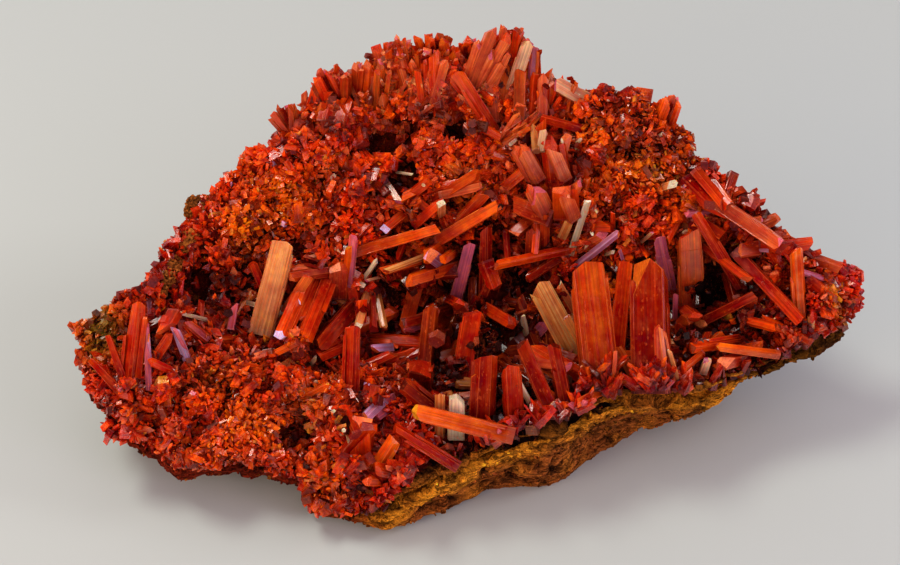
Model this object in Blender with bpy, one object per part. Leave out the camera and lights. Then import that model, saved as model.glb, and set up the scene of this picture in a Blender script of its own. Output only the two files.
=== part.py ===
"""Crocoite specimen: orange-red crocoite prisms on a crystal crust over a block of limonite matrix.

Blender 4.5, metres, +Z up. The front of the specimen faces -Y, its long side lies along X, and the
origin is at the centre of its box, on the surface that the matrix stands on.

Every table below is in millimetres. A crystal is given by its foot, where it leaves the crust, and
by its tip.
"""

import math
import random

import bmesh
import bpy
import numpy as np
from mathutils import Matrix, Vector, geometry, noise

MM = 0.001
SPECIMEN = "crocoite_specimen"

# Driving dimensions
GAP = 0.35
CRUST_DEPTH = 7.0
EDGE_DEPTH = 4.0
EDGE_BULGE = 1.0
EDGE_STEP = 3.8
EDGE_RAGGEDNESS = 0.9
FINE_SPACING = 3.7
COARSE_SPACING = 6.5
MATRIX_EDGE_DEPTH = 2.5
WALL_RINGS = 6
SOCKET_DEPTH = 2.2
SHORTEST_EDGE = 0.03
BOX_CENTRE = (3.49, -1.93)

# Height field smoothing, and the direction that the broad faces of the crystals look in
HEIGHT_SMOOTHING = 2.0
FRONT_AND_UP = Vector((0.0, -0.67, 0.74))

# Edge of the crust: x, y and height, from the left tip over the back ridge and round to the front
CRUST_EDGE = [
    (-70, -10, 24), (-63, -7, 28), (-55, -5, 30), (-55, 2, 30), (-50, 12, 32), (-42, 19, 36),
    (-35, 24, 40), (-26, 30, 45), (-20, 33, 47), (-12, 35, 49), (-1, 35, 51), (5, 33, 51),
    (12, 32, 50), (19, 28, 47), (27, 29, 48), (32, 29, 49), (37, 27, 48), (46, 22, 43),
    (50, 15, 40), (57, 12, 37), (62, 7, 33), (69, 2, 31), (77, 0, 28), (75, -7, 24),
    (68, -12, 22), (59, -15, 21), (50, -20, 21), (44, -22, 21), (34, -23, 22), (25, -26, 21),
    (14, -31, 19), (4, -34, 17), (-5, -37, 13), (-12, -39, 10), (-18, -39, 8), (-26, -37, 8),
    (-27, -35, 9), (-25, -33, 11), (-37, -32, 13), (-50, -32, 13), (-54, -29, 14),
    (-63, -26, 16), (-65, -20, 18), (-68, -15, 21),
]

# Heights of the crust inside its edge, in rows from the ridge down through the hollow to the front
CRUST_HEIGHTS = [
    (-19, 27, 42), (-19, 22, 39), (-19, 17, 35), (-19, 12, 30), (-19, 8, 24), (-20, 4, 18),
    (-19, -3, 14), (-19, -13, 15), (-18, -24, 17), (-18, -31, 14),
    (0, 28, 45), (0, 21, 40), (0, 18, 35), (0, 13, 29), (0, 9, 24), (0, 5, 17),
    (0, 0, 14), (0, -8, 14), (0, -18, 16), (0, -27, 18),
    (-33, 18, 37), (-33, 12, 32), (-33, 7, 27), (-33, 1, 22), (-32, -8, 18), (-31, -19, 18),
    (-31, -27, 15), (-48, 7, 30), (-48, 1, 26), (-47, -9, 22), (-46, -20, 20), (-46, -27, 15),
    (-61, -10, 26), (-61, -17, 22), (-61, -23, 18),
    (21, 24, 46), (21, 19, 42), (21, 12, 35), (21, 8, 28), (22, 4, 18), (21, -6, 15),
    (20, -19, 19), (20, -25, 20),
    (36, 25, 48), (36, 18, 43), (36, 11, 36), (37, 7, 27), (37, 2, 18), (36, -11, 18),
    (35, -19, 21), (49, 12, 38), (49, 7, 32), (50, 3, 24), (50, -1, 20), (49, -10, 20),
    (48, -18, 21), (62, 1, 33), (62, -4, 27), (62, -9, 22), (71, 0, 29), (71, -5, 26),
]

# Humps and pits of the crust: x, y, radius and height, which is negative for a pit
CRUST_LUMPS = [
    (36, 21, 9, 2.5), (29, 26, 4, 2.0), (46, 17, 5, 1.5), (-40, 10, 6, 1.5), (-30, 20, 6, 1.5),
    (-22, -22, 7, 1.5), (-38, -22, 6, 1.2), (-60, -20, 4, 1.2), (68, -5, 5, 1.2), (18, 17, 5, 1.5),
    (1, 24, 3.5, -3.5), (-13, 24, 5, -2.5), (-9, 17, 3.5, -3.0), (-30, 7, 2.5, -2.5),
    (-48, 1, 5, -3.5), (50, 1, 4.5, -3.0), (-6, -3, 7, -2.0), (12, -4, 6, -2.5), (14, 4, 4, -2.0),
    (27, -9, 4, -2.0), (-13, 4, 4, -2.5), (30, 14, 3, -2.0), (-24, -12, 4, -1.5), (8, 17, 3, -2.0),
]
LUMP_SIZE = 8.0
LUMP_HEIGHT = 1.8
GRAIN_SIZE = 4.2
GRAIN_HEIGHT = 1.3

# Foot of the matrix on the table: x and y
MATRIX_BASE = [
    (-24, -30), (-12, -34), (-2, -34), (5, -32), (13, -30), (21, -27), (28, -23), (36, -17),
    (43, -9), (46, 0), (42, 12), (30, 20), (12, 24), (-8, 24), (-26, 18), (-38, 8), (-42, -4),
    (-38, -16), (-32, -25),
]
LEDGE_SPACING = 6.5
LEDGE_DEPTH = 1.0
FOLD_SIZE = 7.5
FOLD_DEPTH = 1.8
KNOB_SIZE = 17.0
KNOB_DEPTH = 3.0

# Large crystals: piece, foot, tip, width, thickness and turn about the length in degrees
LARGE_CRYSTALS = [
    ("tall_prism_left", (27.5, -19, 20.5), (25, -3.5, 35.5), 7.0, 5.0, 0),
    ("tall_prism_right", (37, -20, 21.5), (36.5, -3.5, 36.5), 7.0, 5.5, -18),
    ("tall_prism_middle", (32, -7.5, 15.5), (33.5, 3.5, 27.5), 3.2, 2.4, 0),
    ("striated_tan_prism", (23.5, -8.5, 15.5), (16.5, 0, 25.5), 5.0, 3.6, 0),
    ("pale_salmon_prism", (-35.5, -4.5, 19.5), (-31.5, 6.5, 30.5), 5.0, 3.5, 0),
    ("lavender_ended_pair", (-28, 3, 22), (-32, -12, 22), 3.5, 3.0, 25),
    ("left_red_prisms", (-24.5, 3, 20), (-28, -11.5, 20), 4.3, 3.4, 0),
    ("left_red_prisms", (-20, 0, 16), (-25.5, -11, 18), 3.5, 3.0, -20),
    ("lavender_ended_pair", (-31.8, -2.5, 18.5), (-26.5, 1.5, 26), 2.4, 2.0, 0),
    ("left_red_prisms", (-20.5, -6, 13.5), (-25.5, -12.5, 17.5), 2.9, 2.4, 10),
    ("upright_red_prism", (-18.5, -18.5, 16.5), (-18, -10, 25.5), 3.4, 3.0, 0),
    ("pink_faced_stick", (-19.5, 6, 21), (-18.5, 9.5, 29), 1.9, 1.6, 0),
    ("crossbar_prism", (-15.5, 9, 25), (-2, 10, 29.5), 2.3, 2.0, 0),
    ("centre_spray", (-0.5, 11, 26.5), (9.5, 11, 35), 2.6, 2.2, 0),
    ("centre_spray", (1, 12.5, 27.5), (7, 13.5, 36), 2.3, 2.0, 30),
    ("centre_orange_prism", (0.5, 9, 23.5), (-1.5, 1.5, 29.5), 2.0, 1.8, 0),
    ("pink_blade", (1.5, 4.5, 17), (4, 9, 27), 2.7, 1.6, 0),
    ("dark_upright_prism", (7, 6, 20), (7, 10, 30.5), 2.7, 2.3, 0),
    ("long_low_bar", (20.5, 7, 26), (8, 1.5, 28), 2.0, 1.8, 0),
    ("hollow_crossbar", (-1.5, 1, 15), (-10, -5, 18.5), 2.4, 2.1, 0),
    ("cream_stick", (24, 8.5, 27.5), (26.3, 11, 37), 1.4, 1.2, 0),
    ("lavender_blade", (26.5, 6.5, 25), (32.5, 6.5, 32.5), 1.6, 1.1, 0),
    ("front_slanted_prism", (2.5, -14, 15.5), (4.5, -5.5, 24.5), 4.2, 3.4, 0),
    ("front_capped_prism", (6, -25.5, 18), (6.5, -19.5, 28), 5.1, 4.2, 0),
    ("front_narrow_prism", (11.5, -26, 18.5), (10.8, -21, 27), 3.4, 2.8, 20),
    ("front_dark_prism", (18, -25, 19.5), (12.5, -16.5, 28.5), 3.0, 2.8, 0),
    ("front_side_prism", (21, -23.5, 19.5), (18.5, -17.5, 29), 3.0, 2.6, 15),
    ("diagonal_bar", (14.5, -11.5, 15), (22.5, -18.5, 22), 2.0, 1.8, 0),
    ("white_faced_crystal", (1.2, -27.5, 17.5), (1.2, -25, 22.5), 3.3, 2.8, 0),
    ("tan_short_stick", (-1.8, -27.5, 17.5), (-1.8, -25, 23.5), 2.0, 1.6, 0),
    ("front_lying_prism", (8.5, -31, 19.5), (-7, -28.5, 22.5), 3.3, 2.8, 0),
    ("front_lower_prism", (-1, -34, 15.5), (-10.5, -29, 18.5), 2.3, 2.0, 0),
    ("front_striated_prism", (-14, -34.5, 11.5), (-9.5, -31.5, 19), 3.1, 2.6, 0),
    ("sparkling_prism", (-3.5, -23, 16.5), (-9.5, -21.5, 22.5), 3.8, 3.4, 0),
    ("end_on_prism", (-5.5, -15.5, 14.5), (-5.5, -19, 23), 4.8, 4.4, 0),
    ("left_lobe_prisms", (-58.5, -17.5, 21.5), (-56.5, -10, 32.5), 4.4, 3.4, 0),
    ("left_lobe_blade", (-61, -21, 19), (-66, -18, 24.5), 1.9, 1.4, 0),
    ("left_lobe_prisms", (-60.5, -18.5, 21), (-62.5, -15, 28), 1.7, 1.4, 0),
    ("mauve_blade", (42, 3.5, 22.5), (39.5, 6, 32), 2.8, 1.7, 0),
    ("fibrous_block", (46.5, 1.5, 21), (45, 6, 34), 5.0, 3.6, 0),
    ("right_upper_bar", (54, 1.5, 25.5), (45.5, 6.5, 38), 2.3, 2.0, 0),
    ("right_lower_bar", (56, 2, 28.5), (65, -11.5, 26.5), 2.5, 2.2, 0),
    ("right_salmon_prism", (51, 9.5, 36.5), (61, -2.5, 37.5), 2.9, 2.4, 0),
    ("right_upright_bar", (65.8, -7.5, 23.5), (63.5, -1.5, 37), 3.0, 2.4, 0),
    ("right_dark_bar", (48, -4, 18), (57.5, -5, 27.5), 2.0, 1.8, 0),
    ("right_orange_bar", (52, -2.5, 19), (61, -12, 25.5), 2.0, 1.8, 0),
    ("right_end_on_prism", (53.5, -9.5, 19), (44, -15, 23.5), 2.5, 2.3, 0),
    ("right_front_bar", (58.5, -14, 21), (49, -14.5, 23.5), 1.8, 1.6, 0),
    ("ridge_left_block", (-19, 30.5, 44.5), (-18.5, 30.5, 53), 3.6, 3.0, 0),
    ("ridge_striated_block", (-14.5, 30.5, 44.5), (-14, 31.5, 55), 3.8, 3.0, 0),
    ("ridge_spike", (-11.3, 32.8, 46.5), (-11.4, 32.8, 57), 1.5, 1.4, 0),
    ("ridge_curved_block", (-8, 31.5, 46.5), (-9.5, 32, 58), 3.0, 2.6, 0),
    ("ridge_top_prism", (6.5, 31, 49.5), (10.8, 31, 62), 5.0, 3.6, 0),
    ("ridge_tan_prism", (12.2, 30, 48), (15, 32, 58.5), 2.8, 2.2, 0),
    ("ridge_cleavage_plate", (25.5, 27, 47.5), (19.5, 28, 51), 3.2, 1.2, 0),
    ("ridge_front_prism", (7, 25, 44), (1, 28.5, 53.5), 2.8, 2.3, 0),
]

# Smaller crystals that are one with the crust: foot, tip and width
CRUST_CRYSTALS = [
    ((24.5, 0, 15), (21, 2, 22), 1.8), ((-17.5, -1.5, 14), (-17, 0, 20.5), 1.8),
    ((-24.5, 5.5, 22), (-31, 3, 25), 2.7), ((-6, 8, 22), (-13.5, 3.5, 24), 1.6),
    ((-2.5, 9, 24), (-4.5, 5, 26), 3.2), ((16, 7, 25), (16, 9, 31), 2.6),
    ((8, 3, 17), (8, 5, 24), 2.7), ((0, 7.5, 21), (-8.5, 1.5, 23.5), 2.1),
    ((5.5, 2, 15), (12.5, -6, 19.5), 2.3), ((-3, 2, 14), (-3.5, -4, 21), 3.3),
    ((2.5, 2, 14), (2, -2.5, 20.5), 3.0), ((-2, -3, 13), (-2.5, -9, 19), 3.6),
    ((-9.5, 15.5, 31), (-4, 15.5, 37), 1.7), ((-3.5, 15.5, 31), (5.5, 16, 38.5), 2.0),
    ((-6, 13.5, 28), (-1.5, 13, 34), 1.8), ((16, -6.5, 14), (24, -14.5, 19), 2.0),
    ((-12.5, -35.5, 11), (-15, -37.5, 14), 2.5), ((-10, -35, 12.5), (-13.5, -36.5, 16), 2.4),
    ((-16, -31, 13), (-16, -29, 19.5), 3.8), ((-54.5, -16.5, 22), (-51, -14.5, 27), 1.8),
    ((-52, -18, 21), (-55, -19, 25), 1.7), ((-52.5, -12, 23.5), (-52, -12, 28.5), 2.6),
    ((-49, -15, 21.5), (-50.5, -13, 27), 1.6), ((-59.5, -23, 17.5), (-58.5, -22.5, 23), 3.2),
    ((45.5, -4, 17), (44.5, -7, 22.5), 3.8), ((47.5, -5, 17.5), (47.5, -7.5, 22), 2.3),
    ((-2.5, 35, 50), (-2.5, 34.5, 57), 3.6), ((3, 33.5, 50), (3, 33, 56.5), 2.8),
    ((10.3, 33, 49), (12, 33.5, 60), 1.8), ((16.5, 29.5, 47), (17, 31.5, 56.5), 1.8),
    ((18.5, 26.5, 46), (18.5, 27, 50.5), 2.2), ((10.5, 21.5, 41), (16, 22.5, 47.5), 2.4),
    ((18.5, 17, 39), (18, 19, 47), 6.0), ((20.5, 12, 34), (20.5, 13, 41), 6.0),
    ((11.5, 16, 36), (15, 15.5, 40.5), 2.0), ((-23, 30.5, 45), (-24.5, 31, 51), 3.0),
    ((-4.5, 32, 48), (-5.5, 31, 55.5), 2.8), ((-31, 25.5, 41.5), (-32.5, 26.5, 47), 2.8),
    ((22.5, 28, 46.5), (23.5, 29, 52), 2.4), ((41, 24, 45), (42.5, 24.5, 50), 3.0),
]
RANDOM_CRYSTALS = 38
RANDOM_LENGTH = (4.5, 8.0)
RANDOM_WIDTH = (1.7, 3.0)
RANDOM_SPREAD = 0.75
RANDOM_SEED = 31
TIP_TAPER = 0.9
LARGE_SIDES = 6
SMALL_SIDES = 4
TIP_SLANTS = (20, 55)


def thin_plate(squared):
    """The bending of a thin plate at this squared distance, which smooths the height field."""
    return 0.5 * squared * np.log(squared + 1e-9)


class HeightField:
    """A smooth surface through the edge of the crust and the heights inside it."""

    def __init__(self, spots):
        self.spots = np.array(spots, float)
        count = len(spots)
        plan = self.spots[:, :2]
        squared = ((plan[:, None] - plan[None]) ** 2).sum(-1)
        system = np.zeros((count + 3, count + 3))
        system[:count, :count] = thin_plate(squared) + HEIGHT_SMOOTHING * np.eye(count)
        system[:count, count] = system[count, :count] = 1
        system[:count, count + 1:] = plan
        system[count + 1:, :count] = plan.T
        heights = np.append(self.spots[:, 2], (0, 0, 0))
        self.weights = np.linalg.solve(system, heights)

    def at(self, x, y):
        count = len(self.spots)
        squared = (x - self.spots[:, 0]) ** 2 + (y - self.spots[:, 1]) ** 2
        flat = self.weights[count] + self.weights[count + 1] * x + self.weights[count + 2] * y
        return float(thin_plate(squared) @ self.weights[:count] + flat)

    def normal(self, x, y):
        step = 1.0
        along_x = self.at(x + step, y) - self.at(x - step, y)
        along_y = self.at(x, y + step) - self.at(x, y - step)
        return Vector((-along_x, -along_y, 2 * step)).normalized()


def relief(x, y):
    """Height of the lumps, grain and pits above the smooth surface."""
    height = LUMP_HEIGHT * noise.noise(Vector((x, y, 0)) / LUMP_SIZE)
    height += GRAIN_HEIGHT * noise.noise(Vector((x, y, 50)) / GRAIN_SIZE)
    for lump_x, lump_y, radius, rise in CRUST_LUMPS:
        distance = math.hypot(x - lump_x, y - lump_y) / radius
        if distance < 1:
            height += rise * (1 - distance * distance) ** 2
    return height


def resampled(outline, step):
    """Points about one step apart round a closed outline."""
    points = []
    for start, end in zip(outline, outline[1:] + outline[:1]):
        start, end = Vector(start), Vector(end)
        pieces = max(1, round((end - start).length / step))
        points += [start.lerp(end, i / pieces) for i in range(pieces)]
    return points


def outward(points):
    """Level direction out of a clockwise outline at each of its points."""
    directions = []
    for i in range(len(points)):
        along = points[(i + 1) % len(points)] - points[i - 1]
        directions.append(Vector((-along.y, along.x, 0)).normalized())
    return directions


def ragged_edge():
    """The crust's edge with the small teeth of a crystal crust."""
    points = resampled(CRUST_EDGE, EDGE_STEP)
    ragged = []
    for point, out in zip(points, outward(points)):
        tooth = EDGE_RAGGEDNESS * noise.noise(point * 0.9)
        lift = EDGE_RAGGEDNESS * noise.noise(point * 0.7 + Vector((9, 0, 0)))
        ragged.append(point + out * tooth + Vector((0, 0, lift)))
    return ragged


def is_inside(x, y, outline):
    """Whether a ray from the point crosses the outline an odd number of times."""
    inside = False
    for a, b in zip(outline, outline[1:] + outline[:1]):
        if (a.y > y) != (b.y > y) and x < a.x + (y - a.y) / (b.y - a.y) * (b.x - a.x):
            inside = not inside
    return inside


def scattered_inside(outline, spacing, seed):
    """Points of a loose hexagonal grid that lie well inside the outline."""
    draw = random.Random(seed)
    row_step = spacing * math.sqrt(3) / 2
    low_x, high_x = min(p.x for p in outline), max(p.x for p in outline)
    low_y, high_y = min(p.y for p in outline), max(p.y for p in outline)
    points = []
    for row in range(int((high_y - low_y) / row_step) + 1):
        for column in range(int((high_x - low_x) / spacing) + 1):
            x = low_x + (column + row % 2 / 2) * spacing + draw.uniform(-0.2, 0.2) * spacing
            y = low_y + row * row_step + draw.uniform(-0.2, 0.2) * spacing
            clear = min(math.hypot(p.x - x, p.y - y) for p in outline) > 0.6 * spacing
            if clear and is_inside(x, y, outline):
                points.append((x, y))
    return points


def sheet_faces(edge, inside):
    """Triangles over the plan of the edge, through the points inside it."""
    points = [Vector((p.x, p.y)) for p in edge] + [Vector(p) for p in inside]
    loop = [(i, (i + 1) % len(edge)) for i in range(len(edge))]
    return geometry.delaunay_2d_cdt(points, loop, [], 1, 1e-6)[2]


def facing(face, points, upward):
    """The face with its corners in the order that makes it look up or down."""
    a, b, c = (points[i] for i in face[:3])
    looks_up = (b.x - a.x) * (c.y - a.y) - (b.y - a.y) * (c.x - a.x) > 0
    return list(face) if looks_up == upward else list(reversed(face))


def add_sheet(bm, ring, edge, inside, height, upward):
    """Fills the ring of vertices with triangles through the inside points at their height."""
    verts = list(ring)
    for x, y in inside:
        verts.append(bm.verts.new(Vector((x, y, height(x, y))) * MM))
    plan = list(edge) + [Vector((x, y, 0)) for x, y in inside]
    for face in sheet_faces(edge, inside):
        bm.faces.new([verts[i] for i in facing(face, plan, upward)])


def add_ring(bm, points):
    return [bm.verts.new(point * MM) for point in points]


def join_rings(bm, upper, lower):
    """A strip of faces down from one ring to the next, looking outwards from a clockwise outline."""
    count = len(upper)
    for i in range(count):
        j = (i + 1) % count
        bm.faces.new((upper[j], upper[i], lower[i], lower[j]))


def crust_skin(field, edge, fine, coarse):
    """The crystal crust as one closed, lumpy sheet with a rounded edge."""
    bm = bmesh.new()
    bottom = [p - Vector((0, 0, EDGE_DEPTH)) for p in edge]
    middle = []
    for point, out in zip(edge, outward(edge)):
        bulge = EDGE_BULGE * (1 + noise.noise(point * 0.6))
        middle.append(point + out * bulge - Vector((0, 0, EDGE_DEPTH / 2)))
    top_ring, middle_ring, bottom_ring = (add_ring(bm, ring) for ring in (edge, middle, bottom))
    join_rings(bm, top_ring, middle_ring)
    join_rings(bm, middle_ring, bottom_ring)
    add_sheet(bm, top_ring, edge, fine, lambda x, y: field.at(x, y) + relief(x, y), True)
    add_sheet(bm, bottom_ring, edge, coarse, lambda x, y: field.at(x, y) - CRUST_DEPTH, False)
    return bm


def base_point(direction):
    """Where a level ray from the middle of the specimen leaves the foot of the matrix."""
    corners = [Vector(p) for p in MATRIX_BASE]
    far = Vector((direction.x, direction.y)).normalized() * 200
    for a, b in zip(corners, corners[1:] + corners[:1]):
        hit = geometry.intersect_line_line_2d(Vector((0, 0)), far, a, b)
        if hit:
            return Vector((hit.x, hit.y, 0))
    return Vector((0, 0, 0))


def rock_relief(point):
    """How far the weathered wall of the matrix stands out: knobs and folds crossed by thin ledges."""
    folds = FOLD_DEPTH * noise.noise(point / FOLD_SIZE) + KNOB_DEPTH * noise.noise(point / KNOB_SIZE)
    tilt = point.x * 0.06 + noise.noise(point / 15) * 2
    ledge = LEDGE_DEPTH * math.sin(2 * math.pi * (point.z + tilt) / LEDGE_SPACING)
    return folds + ledge


def matrix_rock(field, edge, coarse):
    """The limonite under the crust, from the crust's edge down to a flat foot."""
    bm = bmesh.new()
    drop = Vector((0, 0, EDGE_DEPTH + GAP))
    top = [p - drop for p in edge]
    foot = [base_point(p) for p in edge]
    directions = outward(edge)
    ring = add_ring(bm, top)
    depth = CRUST_DEPTH + GAP
    add_sheet(bm, ring, edge, coarse, lambda x, y: field.at(x, y) - depth, True)
    for step in range(1, WALL_RINGS + 1):
        down = step / WALL_RINGS
        lower = []
        for upper_point, foot_point, out in zip(top, foot, directions):
            height = upper_point.z * (1 - down)
            edge_share = MATRIX_EDGE_DEPTH / max(upper_point.z, MATRIX_EDGE_DEPTH)
            inward = max(0.0, (down - edge_share) / max(1 - edge_share, 0.01))
            point = upper_point.lerp(foot_point, inward)
            point.z = height
            fade = 0.5 if step == WALL_RINGS else 1.0
            lower.append(point + out * rock_relief(point) * fade)
        next_ring = add_ring(bm, lower)
        join_rings(bm, ring, next_ring)
        ring = next_ring
    bm.faces.new(ring)
    return bm


def crystal_frame(foot, tip, turn):
    """Side, face and length directions: the broad face looks forward and up, then turns."""
    along = (tip - foot).normalized()
    face = FRONT_AND_UP - along * along.dot(FRONT_AND_UP)
    if face.length < 0.2:
        face = Vector((0, 0, 1)) - along * along.z
    face.normalize()
    face.rotate(Matrix.Rotation(math.radians(turn), 3, along))
    return Matrix((face.cross(along), face, along)).transposed()


def cut_tip(bm, length, slant, towards):
    """Cuts a slanted end face through the tip, at this angle from square and towards this side."""
    normal = Vector((math.sin(slant) * math.cos(towards), math.sin(slant) * math.sin(towards),
                     math.cos(slant)))
    parts = bm.verts[:] + bm.edges[:] + bm.faces[:]
    tip = Vector((0, 0, length))
    cut = bmesh.ops.bisect_plane(bm, geom=parts, plane_co=tip, plane_no=normal, clear_outer=True)
    edges = [item for item in cut["geom_cut"] if isinstance(item, bmesh.types.BMEdge)]
    bmesh.ops.holes_fill(bm, edges=edges, sides=0)


def crystal(foot, tip, width, thickness, turn, sides, grow=0.0):
    """One closed prism, sunk in its socket, with a chisel tip. Grow makes it larger all round."""
    foot, tip = Vector(foot), Vector(tip)
    frame = crystal_frame(foot, tip, turn)
    sunk = SOCKET_DEPTH + grow
    length = (tip - foot).length + sunk + grow
    draw = random.Random(f"{tuple(foot)}{tuple(tip)}")
    first, second = (math.radians(draw.uniform(*TIP_SLANTS)) for _ in range(2))
    towards = draw.choice((0.0, 0.5, 1.0, 1.5)) * math.pi
    bm = bmesh.new()
    over = 1.6
    bmesh.ops.create_cone(bm, cap_ends=True, segments=sides, radius1=1, radius2=TIP_TAPER,
                          depth=length + 2 * over)
    quarter = math.pi / sides if sides == SMALL_SIDES else 0.0
    bmesh.ops.rotate(bm, verts=bm.verts, matrix=Matrix.Rotation(quarter, 3, "Z"))
    bmesh.ops.translate(bm, verts=bm.verts, vec=(0, 0, length / 2 + over))
    across = max(abs(vert.co.x) for vert in bm.verts)
    through = max(abs(vert.co.y) for vert in bm.verts)
    scale = ((width / 2 + grow) / across, (thickness / 2 + grow) / through, 1)
    bmesh.ops.scale(bm, verts=bm.verts, vec=scale)
    cut_tip(bm, length, first, towards)
    cut_tip(bm, length, second, towards + math.pi)
    start = foot - frame.col[2] * sunk
    place = Matrix.Translation(start) @ frame.to_4x4()
    bmesh.ops.transform(bm, verts=bm.verts, matrix=Matrix.Scale(MM, 4) @ place)
    return bm


def object_from(bm, name, collection):
    mesh = bpy.data.meshes.new(name)
    bmesh.ops.recalc_face_normals(bm, faces=bm.faces)
    bm.to_mesh(mesh)
    bm.free()
    made = bpy.data.objects.new(name, mesh)
    collection.objects.link(made)
    return made


def join_all(base, others):
    """Joins every object of a collection to the base."""
    step = base.modifiers.new(others.name, "BOOLEAN")
    step.operation = "UNION"
    step.operand_type = "COLLECTION"
    step.collection = others
    step.solver = "EXACT"


def cut_one_by_one(base, cutters):
    """Takes each cutter out of the base in turn, because neighbouring cutters overlap."""
    for cutter in cutters.objects:
        step = base.modifiers.new(cutter.name, "BOOLEAN")
        step.operation = "DIFFERENCE"
        step.object = cutter
        step.solver = "EXACT"


def apply_modifiers(made):
    """Keeps the joined and cut form as the object's own mesh."""
    graph = bpy.context.evaluated_depsgraph_get()
    mesh = bpy.data.meshes.new_from_object(made.evaluated_get(graph))
    made.modifiers.clear()
    made.data = mesh


def drop_chips(mesh):
    """Leaves only the largest body, without the chips that the sockets cut loose."""
    bm = bmesh.new()
    bm.from_mesh(mesh)
    left = set(bm.verts)
    bodies = []
    while left:
        body, edge = set(), [left.pop()]
        while edge:
            vert = edge.pop()
            body.add(vert)
            near = {line.other_vert(vert) for line in vert.link_edges} & left
            left -= near
            edge += near
        bodies.append(body)
    largest = max(bodies, key=len)
    chips = [vert for body in bodies if body is not largest for vert in body]
    bmesh.ops.delete(bm, geom=chips, context="VERTS")
    bmesh.ops.remove_doubles(bm, verts=bm.verts, dist=SHORTEST_EDGE * MM)
    bm.to_mesh(mesh)
    bm.free()


def random_crystals(field, edge):
    """Small crystals that stand about square to the crust, clear of each other's feet."""
    draw = random.Random(RANDOM_SEED)
    spots = scattered_inside(edge, COARSE_SPACING, RANDOM_SEED)
    draw.shuffle(spots)
    made = []
    for x, y in spots[:RANDOM_CRYSTALS]:
        foot = Vector((x, y, field.at(x, y) + relief(x, y) - 0.5))
        lean = Vector([draw.uniform(-RANDOM_SPREAD, RANDOM_SPREAD) for _ in range(3)])
        along = (field.normal(x, y) + lean).normalized()
        along.z = max(along.z, 0.15)
        tip = foot + along * draw.uniform(*RANDOM_LENGTH)
        made.append((foot, tip, draw.uniform(*RANDOM_WIDTH)))
    return made


def surface_material(name, colour, roughness):
    material = bpy.data.materials.new(name)
    material.use_nodes = True
    shader = material.node_tree.nodes["Principled BSDF"]
    shader.inputs["Base Color"].default_value = (*colour, 1)
    shader.inputs["Roughness"].default_value = roughness
    shader.inputs["Metallic"].default_value = 0.0
    material.diffuse_color = (*colour, 1)
    return material


def new_collection(name, parent):
    collection = bpy.data.collections.new(name)
    parent.children.link(collection)
    return collection


def hide_helpers(collection):
    collection.hide_render = True
    for helper in collection.objects:
        helper.hide_render = True
        helper.display_type = "WIRE"


def make_large_crystals(parts, scene_collection, sockets):
    """The large crystals, one object a piece. Those that overlap are joined. Fills the sockets."""
    pieces = {}
    for name, foot, tip, width, thickness, turn in LARGE_CRYSTALS:
        shape = (foot, tip, width, thickness, turn, LARGE_SIDES)
        object_from(crystal(*shape, grow=GAP), f"{name}_socket", sockets)
        if name not in pieces:
            pieces[name] = [object_from(crystal(*shape), name, parts)]
        else:
            pieces[name].append(crystal(*shape))
    for name, (first, *others) in pieces.items():
        if others:
            helpers = new_collection(f"{name}_joined", scene_collection)
            for other in others:
                object_from(other, f"{name}_branch", helpers)
            join_all(first, helpers)
            apply_modifiers(first)
            hide_helpers(helpers)
    return [objects[0] for objects in pieces.values()]


def make_crust(field, edge, fine, coarse, parts, scene_collection, sockets):
    crust = object_from(crust_skin(field, edge, fine, coarse), "crocoite_crust", parts)
    small = new_collection("crust_crystals", scene_collection)
    for foot, tip, width in CRUST_CRYSTALS + random_crystals(field, edge):
        bm = crystal(foot, tip, width, width * 0.8, 15, SMALL_SIDES)
        object_from(bm, "crust_crystal", small)
    join_all(crust, small)
    cut_one_by_one(crust, sockets)
    apply_modifiers(crust)
    drop_chips(crust.data)
    hide_helpers(small)
    return crust


def clear_scene():
    for old in list(bpy.data.objects):
        bpy.data.objects.remove(old)


def build():
    clear_scene()
    scene_collection = bpy.context.scene.collection
    parts = new_collection(SPECIMEN, scene_collection)
    sockets = new_collection("sockets", scene_collection)
    edge = ragged_edge()
    field = HeightField(CRUST_EDGE + CRUST_HEIGHTS)
    fine = scattered_inside(edge, FINE_SPACING, 5)
    coarse = scattered_inside(edge, COARSE_SPACING, 8)

    crystals = make_large_crystals(parts, scene_collection, sockets)
    crust = make_crust(field, edge, fine, coarse, parts, scene_collection, sockets)
    hide_helpers(sockets)
    matrix = object_from(matrix_rock(field, edge, coarse), "limonite_matrix", parts)

    crust.data.materials.append(surface_material("crocoite_druse", (0.55, 0.10, 0.02), 0.45))
    matrix.data.materials.append(surface_material("limonite", (0.28, 0.16, 0.05), 0.9))
    prism = surface_material("crocoite_prism", (0.60, 0.08, 0.02), 0.25)
    origin = bpy.data.objects.new("specimen_origin", None)
    parts.objects.link(origin)
    for piece in crystals + [crust, matrix]:
        piece.parent = origin
        if piece in crystals:
            piece.data.materials.append(prism)
    origin.location = Vector((-BOX_CENTRE[0], -BOX_CENTRE[1], 0)) * MM


build()
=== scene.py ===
"""Looks of the crocoite specimen: striated orange-red crocoite prisms and a druse of small crystals
on limonite.

Lengths are in millimetres, and MM turns them to metres. The large crystals keep the feet, tips and
widths of the solid model.
"""

import math
import random
from collections import namedtuple

import bmesh
import bpy
import numpy as np
from mathutils import Matrix, Vector, noise
from mathutils.bvhtree import BVHTree


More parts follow.
